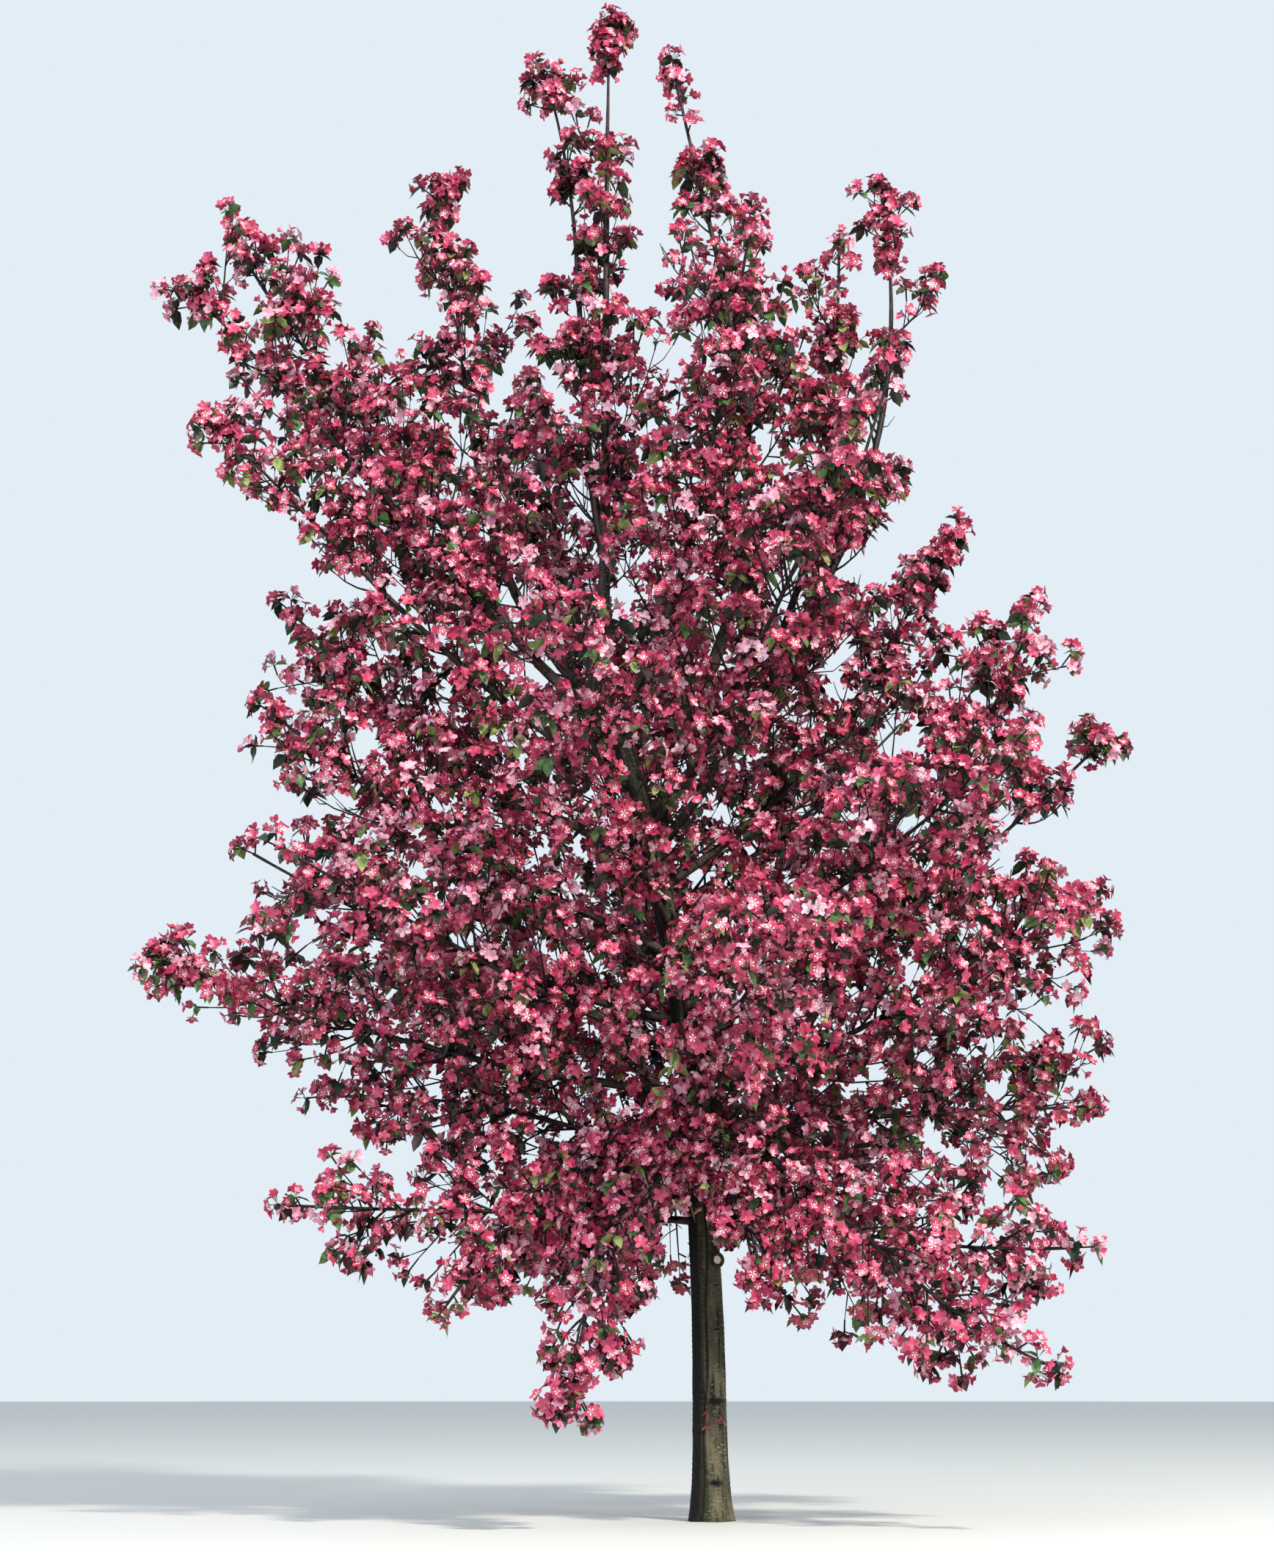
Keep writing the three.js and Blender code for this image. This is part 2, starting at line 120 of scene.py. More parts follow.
def trunk_radius(height, turn):
    """An even taper, plus a root flare that dies out upwards with five buttresses, plus the fork's knot."""
    taper = TRUNK_FOOT_RADIUS + (TRUNK_TOP_RADIUS - TRUNK_FOOT_RADIUS) * height / FORK_HEIGHT
    flare = (FLARE + BUTTRESS_DEPTH * np.cos(BUTTRESSES * turn)) * np.exp(-height / FLARE_HEIGHT)
    return taper + flare + KNOT * np.exp(-(((height - KNOT_HEIGHT) / KNOT_SPAN) ** 2))


def turned_apart(first, second):
    """The smaller angle between two turns, with its sign."""
    return (first - second + np.pi) % (2 * np.pi) - np.pi


def wave(turn, height, pattern):
    """The sine of a number of turns and a number of heights, plus a phase."""
    waves_round, waves_along, phase = pattern
    return np.sin(waves_round * turn + waves_along * height + phase)


def trunk_relief(height, turn):
    """How far the bark stands proud of the even trunk, and how dark it is there from 0 to 1: painted shade
    on the side away from the light, under the crown and in the seams' grooves, and the knots' own dark. A
    seam is a bell-shaped groove with wide shoulders, a knot a bell-shaped hollow in a wider swelling, and
    the rest is lumps and fine level wrinkles, sums and products of sine waves."""
    radius = trunk_radius(height, turn)
    proud = sum(size * wave(turn, height, pattern) for size, pattern in SLOW_LUMPS)
    proud += SMALL_LUMP * wave(turn, height, SMALL_LUMPS[0]) * wave(turn, height, SMALL_LUMPS[1])
    wrinkle = np.sin(WRINKLE_WAVES * height + WRINKLE_SWAY * wave(turn, height, WRINKLE_SWAYS))
    proud += WRINKLE * wrinkle * wave(turn, height, WRINKLE_FADES) ** 2
    # Painted shade on the trunk's side away from the key light.
    painted_shade_edge = turned_apart(turn, np.radians(PAINTED_SHADE_MIDDLE)) / np.radians(PAINTED_SHADE_HALF_WIDTH)
    dark = PAINTED_SHADE_DARKNESS / (1 + np.abs(painted_shade_edge) ** PAINTED_SHADE_EDGE)
    # Painted shadow of the crown over the upper trunk.
    dark = np.maximum(dark, SHADE_DARKNESS / (1 + np.exp((SHADE_HEIGHT - height) / SHADE_FADE)))
    for degrees, winding, depth in TRUNK_SEAMS:
        middle = np.radians(degrees + winding * height + SEAM_WANDER * np.sin(SEAM_WAVES * height))
        away = turned_apart(turn, middle) * radius
        groove = np.exp(-((away / SEAM_HALF_WIDTH) ** 2))
        proud += depth * (SHOULDER_SHARE * np.exp(-((away / SEAM_SHOULDER) ** 2)) - groove)
        # Painted shade in the seam's groove, as dark as the groove is deep.
        dark = np.maximum(dark, groove * depth / TRUNK_SEAMS[0][2])
    for degrees, middle, half_width in TRUNK_KNOTS:
        away = turned_apart(turn, np.radians(degrees)) * radius / half_width
        above = (height - middle) / (half_width * KNOT_FLATNESS)
        reach = away**2 + above**2
        proud += KNOT_LIP * np.exp(-reach / LIP_REACH) - KNOT_HOLLOW * np.exp(-reach * HOLLOW_FALL)
        dark = np.maximum(dark, np.exp(-reach**2 * HOLLOW_DARK_FALL))
    return proud, dark


def ring_faces(tubes, rings, sides):
    """Triangles of closed tubes whose points lie ring after ring: two for each patch between two rings,
    and a flat fan over each end."""
    side = np.arange(sides)
    after = (side + 1) % sides
    foot = (np.arange(rings - 1) * sides)[:, None]
    wall = np.stack([foot + side, foot + after, foot + sides + after,
                     foot + side, foot + sides + after, foot + sides + side], -1).reshape(-1, 3)
    middle = np.arange(1, sides - 1)
    bottom = np.stack([np.zeros_like(middle), middle + 1, middle], -1)
    top = (rings - 1) * sides + bottom[:, ::-1]
    one = np.concatenate([wall, bottom, top])
    return (one + (np.arange(tubes) * rings * sides)[:, None, None]).reshape(-1, 3)


def make_piece(name, points, triangles, material, slot, replaced=()):
    """A smooth-shaded mesh object of triangles, in place, riding on the one body."""
    mesh = bpy.data.meshes.new(name)
    mesh.vertices.add(len(points))
    mesh.vertices.foreach_set("co", np.ascontiguousarray(points, np.float32).ravel())
    mesh.loops.add(triangles.size)
    mesh.loops.foreach_set("vertex_index", np.ascontiguousarray(triangles, np.int32).ravel())
    mesh.polygons.add(len(triangles))
    mesh.polygons.foreach_set("loop_start", np.arange(0, triangles.size, 3, dtype=np.int32))
    mesh.polygons.foreach_set("use_smooth", np.ones(len(triangles), bool))
    mesh.update(calc_edges=True)
    mesh.materials.append(material)
    piece = bpy.data.objects.new(name, mesh)
    bpy.context.scene.collection.objects.link(piece)
    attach(piece, "root")
    if replaced:
        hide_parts(*replaced)
    return piece


def add_values(piece, name, values):
    """Stores one number or one vector for each point of a piece, for its material to read."""
    if values.ndim == 1:
        layer = piece.data.attributes.new(name, "FLOAT", "POINT")
        layer.data.foreach_set("value", np.ascontiguousarray(values, np.float32))
    else:
        layer = piece.data.attributes.new(name, "FLOAT_VECTOR", "POINT")
        layer.data.foreach_set("vector", np.ascontiguousarray(values, np.float32).ravel())


def linear(hex_colour):
    """An sRGB hex colour as linear red, green, blue and a full alpha."""
    parts = [int(hex_colour[place:place + 2], 16) / 255 for place in (1, 3, 5)]
    return (*[part / 12.92 if part <= 0.04045 else ((part + 0.055) / 1.055) ** 2.4 for part in parts], 1.0)


def add_node(tree, kind, inputs=(), **settings):
    """A new shader node with its settings. Each input is set to a value or linked to an output socket."""
    node = tree.nodes.new(kind)
    for name, value in settings.items():
        setattr(node, name, value)
    for name, value in dict(inputs).items():
        if isinstance(value, bpy.types.NodeSocket):
            tree.links.new(value, node.inputs[name])
        else:
            node.inputs[name].default_value = value
    return node


def new_material(name):
    """An empty node material, its node tree and its output's surface socket."""
    material = bpy.data.materials.new(name)
    material.use_nodes = True
    material.node_tree.nodes.clear()
    output = add_node(material.node_tree, "ShaderNodeOutputMaterial")
    return material, material.node_tree, output.inputs["Surface"]


def blend_colours(tree, share, first, second):
    """The output of a node that goes from one colour to another by a share. Colours are hex or sockets.
    The node's sockets for colour are its inputs 6 and 7 and its output 2."""
    sockets = [linear(colour) if isinstance(colour, str) else colour for colour in (first, second)]
    mixed = add_node(tree, "ShaderNodeMix", data_type="RGBA")
    for place, value in ((0, share), (6, sockets[0]), (7, sockets[1])):
        if isinstance(value, bpy.types.NodeSocket):
            tree.links.new(value, mixed.inputs[place])
        else:
            mixed.inputs[place].default_value = value
    return mixed.outputs[2]


def patchy(tree, place, per_metre, low, high, detail=3.0, stretch=(1, 1, 1)):
    """A noise pattern of so many patches a metre on stretched coordinates. What lies between its two
    levels is spread to run from 0 to 1."""
    mapped = add_node(tree, "ShaderNodeMapping", {"Vector": place, "Scale": stretch})
    noise = add_node(tree, "ShaderNodeTexNoise",
                     {"Vector": mapped.outputs["Vector"], "Scale": per_metre, "Detail": detail})
    spread = add_node(tree, "ShaderNodeMapRange",
                      {"Value": noise.outputs["Fac"], "From Min": low, "From Max": high})
    return spread.outputs["Result"]


def lit_surface(tree, surface, colour, relief, height, strength, **finish):
    """Ends a material: its colour, a relief of a height in metres, and the finish of its shader."""
    bump = add_node(tree, "ShaderNodeBump", {"Height": relief, "Distance": height, "Strength": strength})
    inputs = {"Base Color": colour, "Normal": bump.outputs["Normal"]}
    inputs.update({name.replace("_", " "): value for name, value in finish.items()})
    shader = add_node(tree, "ShaderNodeBsdfPrincipled", inputs)
    tree.links.new(shader.outputs["BSDF"], surface)


def bark(name, shadow, middle, light, lenticel, roughness, patches_a_metre, lenticel_level):
    """Apple bark: three tones in upright patches 30 to 40 mm wide, pale level lenticels 3 mm high, a grain
    of 2 mm, and where the mesh says so the knots' dark and painted shade: in the seams, on the side away
    from the light and under the crown. It reads places along the straightened limb, so the lenticels always
    lie across it."""
    material, tree, surface = new_material(name)
    place = add_node(tree, "ShaderNodeAttribute", attribute_name="straight").outputs["Vector"]
    dark = add_node(tree, "ShaderNodeAttribute", attribute_name="dark").outputs["Fac"]
    patches = patchy(tree, place, patches_a_metre, 0.38, 0.62, stretch=(1, 1, 0.35))
    colour = blend_colours(tree, patches, middle, light)
    streaks = patchy(tree, place, patches_a_metre * 3.2, 0.5, 0.66, stretch=(1, 1, 0.12))
    colour = blend_colours(tree, streaks, colour, shadow)
    lenticels = patchy(tree, place, 330.0, lenticel_level, lenticel_level + 0.06, detail=1.0,
                       stretch=(0.22, 0.22, 1))
    colour = blend_colours(tree, lenticels, colour, lenticel)
    colour = blend_colours(tree, dark, colour, "#0C0F0F")
    grain = patchy(tree, place, 420.0, 0.3, 0.7)
    rise = add_node(tree, "ShaderNodeMath", {0: lenticels, 1: grain}, operation="ADD")
    lit_surface(tree, surface, colour, rise.outputs["Value"], height=0.0008, strength=0.8,
                Roughness=roughness, Specular_IOR_Level=0.2)
    return material


# Thin smooth bark, weathered to olive grey with darker patches; rough enough to show no highlight. Its dark
# attribute adds painted shade on the side away from the light, under the crown and in the seams.
trunk_bark = bark("trunk_bark", "#1B1D19", "#3A3A2C", "#66624C", "#7F7961", roughness=0.82,
                  patches_a_metre=26.0, lenticel_level=0.60)

fine_rows = np.arange(0, FINE_HEIGHT, FINE_STEP)
coarse_rows = np.linspace(FINE_HEIGHT, FORK_HEIGHT, int((FORK_HEIGHT - FINE_HEIGHT) / COARSE_STEP))
trunk_heights = np.append(fine_rows, coarse_rows)
trunk_turns = np.linspace(0, 2 * np.pi, TRUNK_SIDES, endpoint=False)
row, turn = np.meshgrid(trunk_heights, trunk_turns, indexing="ij")
proud, dark = trunk_relief(row, turn)
radius = trunk_radius(row, turn) + proud
way_out = np.stack([np.cos(turn), np.sin(turn), np.zeros_like(turn)], -1)
trunk_points = trunk_axis(row) + radius[..., None] * way_out
trunk = make_piece("trunk_bark", trunk_points.reshape(-1, 3),
                   ring_faces(1, len(trunk_heights), TRUNK_SIDES), trunk_bark, "bark", ["trunk"])
straight = radius[..., None] * way_out + row[..., None] * np.array([0, 0, 1])
add_values(trunk, "straight", straight.reshape(-1, 3))
add_values(trunk, "dark", dark.ravel())


# Pruning scar: where the lowest side branch was sawn off, two thirds of a metre up. Its cut wood has
# weathered to cream and is ringed by a dark roll of healing bark that has grown out of the trunk.
SCAR_HEIGHT = 0.643
SCAR_TURN = math.radians(-50)
SCAR_FACING = math.radians(-64)
SCAR_RISE = 0.08
SCAR_RADIUS = 0.0125
SCAR_PROUD = 0.006
SCAR_RINGS = 9
SCAR_SIDES = 40

# The cut face: its wall goes back to two depths in the bark, and it bulges and ripples a little. Its
# innermost ring is a small share of its radius.
WALL_DEPTHS = [-0.012, -0.004]
FACE_BULGE = 0.0012
FACE_RIPPLE = 0.0003
RIPPLE_WAVES = 40
INNER_RING = 0.02
GROWTH_RING = 0.002

# The roll of bark is a thick ring. Its cross-section is a flattened circle, a little outside the cut's
# edge, open at the back and closed by walls that go down into the trunk.
ROLL_RADIUS = 0.0052
ROLL_OUT = 0.55
ROLL_FLATNESS = 0.5
ROLL_DEPTH = -0.016
ROLL_DARKNESS = 0.72

scar_out = np.array([math.cos(SCAR_TURN), math.sin(SCAR_TURN), 0.0])
scar_way = np.array([math.cos(SCAR_FACING), math.sin(SCAR_FACING), SCAR_RISE])
scar_way /= np.linalg.norm(scar_way)
scar_side = np.cross([0, 0, 1], scar_way)
scar_side /= np.linalg.norm(scar_side)
scar_up = np.cross(scar_way, scar_side)
scar_centre = trunk_axis(SCAR_HEIGHT) + scar_out * (trunk_radius(SCAR_HEIGHT, SCAR_TURN) + SCAR_PROUD)


def scar_skin(away, height, turns):
    """Points at a distance from the scar's middle and a height above its face, turned all round it."""
    sideways = np.cos(turns)[None, :, None] * scar_side + np.sin(turns)[None, :, None] * scar_up
    return scar_centre + away[:, None, None] * sideways + height[:, None, None] * scar_way


def sawn_wood():
    """Weathered end grain: cream with thin tan rings every 2 mm that stand up a little, and grey blotches
    5 mm wide, dull and dry."""
    material, tree, surface = new_material("scar_wood")
    place = add_node(tree, "ShaderNodeTexCoord").outputs["Object"]
    centred = add_node(tree, "ShaderNodeMapping",
                       {"Vector": place, "Location": tuple(-scar_centre)}).outputs["Vector"]
    away = add_node(tree, "ShaderNodeVectorMath", {0: centred}, operation="LENGTH").outputs["Value"]
    waves = add_node(tree, "ShaderNodeMath", {0: away, 1: 2 * math.pi / GROWTH_RING}, operation="MULTIPLY")
    sine = add_node(tree, "ShaderNodeMath", {0: waves.outputs["Value"]}, operation="SINE")
    rings = sine.outputs["Value"]
    ring_share = add_node(tree, "ShaderNodeMapRange", {"Value": rings, "From Min": 0.2, "To Max": 0.5})
    blotches = patchy(tree, place, 190.0, 0.5, 0.75)
    colour = blend_colours(tree, ring_share.outputs["Result"], "#E9E4D2", "#C9B993")
    colour = blend_colours(tree, blotches, colour, "#A79E88")
    lit_surface(tree, surface, colour, rings, height=0.00015, strength=0.6, Roughness=0.85)
    return material


scar_turns = np.linspace(0, 2 * np.pi, SCAR_SIDES, endpoint=False)
face_share = np.linspace(1, INNER_RING, SCAR_RINGS)
face_away = np.append([SCAR_RADIUS, SCAR_RADIUS], SCAR_RADIUS * face_share)
face_shape = FACE_BULGE * (1 - face_share**2) + FACE_RIPPLE * np.sin(RIPPLE_WAVES * face_share)
scar_face = scar_skin(face_away, np.append(WALL_DEPTHS, face_shape), scar_turns)
make_piece("pruning_scar_wood", scar_face.reshape(-1, 3), ring_faces(1, len(face_away), SCAR_SIDES),
           sawn_wood(), "bark")

roll_turn = np.linspace(-0.25 * np.pi, 1.25 * np.pi, SCAR_RINGS)
roll_away = SCAR_RADIUS + ROLL_RADIUS * ROLL_OUT + ROLL_RADIUS * np.cos(roll_turn)
roll_height = ROLL_RADIUS * ROLL_FLATNESS * np.sin(roll_turn)
roll_away = np.concatenate([[roll_away[0]], roll_away, [roll_away[-1]]])
roll_height = np.concatenate([[ROLL_DEPTH], roll_height, [ROLL_DEPTH]])
roll_points = scar_skin(roll_away, roll_height, scar_turns).reshape(-1, 3)
roll = make_piece("pruning_scar_roll", roll_points, ring_faces(1, len(roll_away), SCAR_SIDES),
                  trunk_bark, "bark")
add_values(roll, "straight", roll_points)
add_values(roll, "dark", np.full(len(roll_points), ROLL_DARKNESS))


# Boughs: the bare lower parts of the limbs, each a tapering rod of wood that leaves the trunk with a
# swollen collar. Their young bark is smooth, dark purple brown and lightly glossy, with pale lenticels.

# Each limb: its name and its parent, the height where it leaves it, its azimuth, how far out and up its
# tip lies from there, its slopes in degrees at foot and tip, the share of its length that is a bare bough,
# and its longest side shoot. A limb whose bare share is 0 is all stem, in dark bark with the twigs.
LIMBS = [
    # name, parent, height, azimuth, reach, rise, leave, arrive, bare, spread
    ("leader", "trunk", 2.150, 0, 0.014, 1.91, 89, 89, 0.3, 0.32),
    ("left_fork", "trunk", 2.085, 146, 0.61, 1.67, 38, 78, 0.34, 0.41),
    ("top_left", "leader", 2.520, 160, 0.18, 1.43, 78, 74, 0, 0.16),
    ("top_right", "trunk", 1.890, 338, 0.12, 2.03, 44, 101, 0.3, 0.38),
    ("right_spire", "trunk", 1.790, 12, 0.69, 1.85, 46, 98, 0.3, 0.32),
    ("right_upper", "trunk", 1.700, 344, 0.68, 1.34, 48, 72, 0.3, 0.34),
    ("right_shoulder", "trunk", 1.610, 16, 0.86, 1.06, 33, 60, 0.28, 0.36),
    ("right_high", "trunk", 1.400, 350, 0.95, 0.92, 30, 74, 0.28, 0.40),
    ("right_mid", "trunk", 1.215, 8, 1.14, 0.82, 26, 44, 0.26, 0.33),
    ("right_low", "trunk", 1.060, 345, 1.03, 0.48, 14, 26, 0.26, 0.44),
    ("right_arch", "trunk", 0.930, 18, 1.11, 0.14, 16, 4, 0.24, 0.41),
    ("right_skirt", "trunk", 0.770, 341, 0.96, -0.11, -8, 2, 0, 0.29),
    ("right_weep", "trunk", 1.000, 320, 1.02, -0.62, -20, -22, 0, 0.28),
    ("upper_left", "trunk", 1.990, 183, 1.19, 1.27, 44, 45, 0.3, 0.36),
    ("left_shoulder", "trunk", 1.870, 193, 1.14, 0.93, 28, 42, 0.28, 0.31),
    ("left_high", "trunk", 1.650, 170, 1.03, 0.77, 30, 46, 0.28, 0.36),
    ("left_mid", "trunk", 1.430, 189, 1.06, 0.61, 24, 38, 0.26, 0.42),
    ("left_low", "trunk", 1.250, 173, 1.17, 0.48, 14, 30, 0.26, 0.38),
    ("left_reach", "trunk", 1.070, 184, 1.36, 0.33, 5, 20, 0.26, 0.36),
    ("left_arch", "trunk", 0.850, 170, 1.02, 0.23, 26, 0, 0, 0.28),
    ("left_skirt", "trunk", 0.740, 190, 1.06, 0.03, 4, 2, 0, 0.32),
    ("left_weep", "trunk", 0.900, 216, 0.76, -0.38, 10, -50, 0, 0.20),
    ("front_weep", "trunk", 0.960, 242, 0.67, -0.66, 12, -69, 0, 0.25),
    ("front_crown", "trunk", 2.040, 304, 0.62, 1.20, 40, 70, 0.28, 0.34),
    ("front_high", "trunk", 1.750, 302, 0.95, 0.86, 32, 48, 0.28, 0.32),
    ("front_mid", "trunk", 1.490, 254, 1.13, 0.62, 24, 34, 0.26, 0.33),
    ("front_right", "trunk", 1.330, 316, 1.10, 0.50, 20, 30, 0.26, 0.33),
    ("front_left", "trunk", 1.170, 212, 1.19, 0.43, 14, 22, 0, 0.33),
    ("front_low", "trunk", 1.120, 282, 1.17, 0.23, 14, 10, 0, 0.31),
    ("back_crown", "trunk", 2.010, 112, 0.74, 1.27, 42, 66, 0, 0.32),
    ("back_high", "trunk", 1.850, 82, 1.03, 0.87, 34, 48, 0, 0.32),
    ("back_right", "trunk", 1.550, 50, 1.09, 0.70, 26, 38, 0, 0.33),
    ("back_mid", "trunk", 1.350, 96, 1.22, 0.54, 20, 30, 0, 0.33),
    ("back_left", "trunk", 1.150, 140, 1.28, 0.37, 14, 22, 0, 0.33),
    ("back_low", "trunk", 0.960, 68, 1.18, 0.15, 10, 6, 0, 0.31),
    ("back_skirt", "trunk", 0.820, 118, 1.06, -0.09, 4, -12, 0, 0.28),
    ("left_prong", "upper_left", 2.290, 176, 0.77, 1.12, 62, 60, 0, 0.40),
    ("right_prong", "right_spire", 2.150, 345, 0.25, 1.25, 64, 88, 0, 0.24),
    ("front_skirt", "trunk", 0.930, 288, 0.42, -0.36, 6, -62, 0, 0.17),
]
LIMB_HOLD = 0.38
LIMB_SLENDERNESS = 0.0092
LIMB_TIP_SHARE = 0.16
COLLAR = 0.3
COLLAR_LENGTH = 0.05
THINNEST_STEM = 0.004
CURVE_STEPS = 200
BOUGH_SIDES = 12
BOUGH_STEP = 0.012
LEAST_RINGS = 3

# A bough starts inside the trunk, where its centre line passes this share of the trunk's radius. That is
# looked for in the first part of its length.
IN_TRUNK = 0.6
FIRST_PART = 0.3

# Lumps on a limb: the share of its radius that each stands out, its waves round and along, and how many
# times the limb's number shifts it. A node is a thin swelling every 55 mm.
LIMB_LUMPS = [(0.05, 2, 19, 1), (0.04, 3, -37, 0)]
NODE_SWELL = 0.09
NODE_STEP = 0.055
NODE_SHARPNESS = 6

# Whips: the limbs that run on bare for a while below a tuft of blossom at their tip, as two shares of
# their length, and the length of the tuft's shoots. All other limbs are in blossom up to the tip.
WHIPS = {"leader": (0.80, 0.93, 0.014), "top_left": (0.80, 0.93, 0.050), "left_fork": (0.86, 0.93, 0.060),
         "right_spire": (0.77, 0.88, 0.075), "right_mid": (0.86, 0.95, 0.040),
         "upper_left": (0.90, 0.94, 0.062), "left_shoulder": (0.90, 0.94, 0.062),
         "left_reach": (0.90, 0.93, 0.062), "front_weep": (0.86, 0.90, 0.062)}
NO_WHIP = (1.0, 0.97, 0.0)
UP = np.array([0.0, 0.0, 1.0])


def unit(vectors):
    """Vectors divided by their own lengths."""
    return vectors / np.linalg.norm(vectors, axis=-1, keepdims=True)


def walk(controls, shares):
    """Points and directions on Bezier curves: neighbouring control points are mixed by the share again
    and again, the last two give the direction and their mix gives the point."""
    level = controls[..., None, :, :]
    share = np.asarray(shares)[..., None, None]
    while level.shape[-2] > 2:
        level = level[..., :-1, :] * (1 - share) + level[..., 1:, :] * share
    points = level[..., 0, :] * (1 - share[..., 0]) + level[..., 1, :] * share[..., 0]
    return points, unit(np.broadcast_to(level[..., 1, :] - level[..., 0, :], points.shape))


class Limb:
    """A limb's curve, in the upright plane of its azimuth: it leaves its parent's centre line at one slope
    and reaches its tip at another, and each slope is held for a share of the straight way between."""

    def __init__(self, number, values, parents):
        (self.name, parent, height, azimuth, reach, rise, leave, arrive, self.bare, self.spread) = values
        self.number = number
        self.whip, self.tuft, self.tuft_shoot = WHIPS.get(self.name, NO_WHIP)
        self.arrive = math.radians(arrive)
        outward = np.array([math.cos(math.radians(azimuth)), math.sin(math.radians(azimuth)), 0.0])
        foot = parents[parent].at_height(height) if parent in parents else trunk_axis(height)
        tip = foot + reach * outward + rise * UP
        hold = LIMB_HOLD * np.linalg.norm(tip - foot)
        first = outward * math.cos(math.radians(leave)) + UP * math.sin(math.radians(leave))
        last = outward * math.cos(self.arrive) + UP * math.sin(self.arrive)
        self.controls = np.array([foot, foot + hold * first, tip - hold * last, tip])
        self.normal = np.cross(UP, outward)
        points, _ = walk(self.controls, np.linspace(0, 1, CURVE_STEPS + 1))
        self.lengths = np.append(0, np.cumsum(np.linalg.norm(np.diff(points, axis=0), axis=1)))
        self.length = self.lengths[-1]

    def at(self, shares):
        """Points and directions at shares of the limb's length."""
        steps = np.linspace(0, 1, CURVE_STEPS + 1)
        return walk(self.controls, np.interp(np.asarray(shares) * self.length, self.lengths, steps))

    def at_height(self, height):
        """The point where a rising limb passes a height."""
        points, _ = self.at(np.linspace(0, 1, 4 * CURVE_STEPS + 1))
        return np.array([np.interp(height, points[:, 2], points[:, axis]) for axis in range(3)])

    def radius(self, shares):
        """The limb's radius: an even taper from its foot to its tip, with a collar that dies out fast."""
        even = 1 - (1 - LIMB_TIP_SHARE) * shares + COLLAR * np.exp(-shares / COLLAR_LENGTH)
        return np.maximum(THINNEST_STEM, LIMB_SLENDERNESS * self.length * even)


def rings_round(centres, ways, normals, radii, sides):
    """Rings of points: each is its centre plus its radius along the normal turned round the direction."""
    turns = np.linspace(0, 2 * np.pi, sides, endpoint=False)
    across = np.cross(ways, normals)
    spokes = (normals[..., None, :] * np.cos(turns)[:, None]
              + across[..., None, :] * np.sin(turns)[:, None])
    return centres[..., None, :] + radii[..., None] * spokes


limbs = []
limb_named = {}
for number, values in enumerate(LIMBS):
    limb_named[values[0]] = Limb(number, values, limb_named)
    limbs.append(limb_named[values[0]])

# Smooth young bark with a slight gloss; it looks nearly black in shade and plum brown in the light.
limb_bark = bark("limb_bark", "#151112", "#2A2222", "#40362F", "#5E5246", roughness=0.6,
                 patches_a_metre=34.0, lenticel_level=0.62)


def limb_skin(limb, start, end, sides, step):
    """The rings of a stretch of a limb, with slow lumps and a node ring every few centimetres, and the
    same rings straightened out for the bark pattern."""
    shares = np.linspace(start, end, max(LEAST_RINGS, int((end - start) * limb.length / step) + 1))
    centres, ways = limb.at(shares)
    turns = np.linspace(0, 2 * np.pi, sides, endpoint=False)
    far = (shares * limb.length)[:, None]
    lumps = sum(size * wave(turns, far, (waves_round, waves_along, shift * limb.number))
                for size, waves_round, waves_along, shift in LIMB_LUMPS)
    crests = np.maximum(0, np.sin(2 * np.pi * far / NODE_STEP + limb.number))
    radii = limb.radius(shares)[:, None] * (1 + lumps + NODE_SWELL * crests**NODE_SHARPNESS)
    normals = np.broadcast_to(limb.normal, centres.shape)
    points = rings_round(centres, ways, normals, radii, sides)
    spokes = np.stack([np.cos(turns), np.sin(turns)], -1)
    flat = radii[..., None] * spokes
    return points, np.concatenate([flat, np.broadcast_to(far[..., None], flat.shape[:2] + (1,))], -1)


def clear_of_trunk(limb):
    """The share of a limb's length at which its centre line comes out of the trunk's inner part."""
    shares = np.linspace(0, FIRST_PART, CURVE_STEPS)
    points, _ = limb.at(shares)
    away = np.linalg.norm((points - trunk_axis(points[:, 2]))[:, :2], axis=1)
    inside = (away < IN_TRUNK * trunk_radius(points[:, 2], 0.0)) & (points[:, 2] < FORK_HEIGHT)
    return shares[inside][-1] if inside.any() else 0.0


for limb in limbs:
    if limb.bare == 0:
        continue
    points, straight = limb_skin(limb, clear_of_trunk(limb), limb.bare, BOUGH_SIDES, BOUGH_STEP)
    bough = make_piece(f"bough_bark_{limb.name}", points.reshape(-1, 3),
                       ring_faces(1, len(points), BOUGH_SIDES), limb_bark, "bark", [f"bough_{limb.name}"])
    add_values(bough, "straight", straight.reshape(-1, 3))
    add_values(bough, "dark", np.zeros(points.shape[0] * BOUGH_SIDES))


# Twigs: each limb goes on as the stem of its mass of blossom, with side shoots all round it, twigs on
# those and short fruiting spurs on all of them. All are living wood of one to nine years, in dark bark.

# The first five shoots of a limb are the ones of the solids. The fine ones between them also grow on the
# outer part of its bough, have other lengths at its foot and its tip, and are shorter up an upright limb.
SHOOTS = 5
FINE_SHOOTS = 26
FINE_LENGTH = (0.95, 0.75)
UPRIGHT_LOSS = 0.75
FINE_FROM = 0.5
SHOOTS_START = 0.05
SHOOTS_END = 0.9
FIRST_PLACE = 0.5
ALONG_STEP = 0.7549
ROUND_STEP = 0.5698
LIMB_TURN = 0.618
SHOOT_LEAN = 48
SHOOT_LEAN_SPREAD = 16
SHOOT_TAPER = 0.48
SHOOT_LUCK = 0.3
SHOOT_BEND = 1.5
SHOOT_RADIUS = 0.0042
SHOOT_TIP_RADIUS = 0.0016

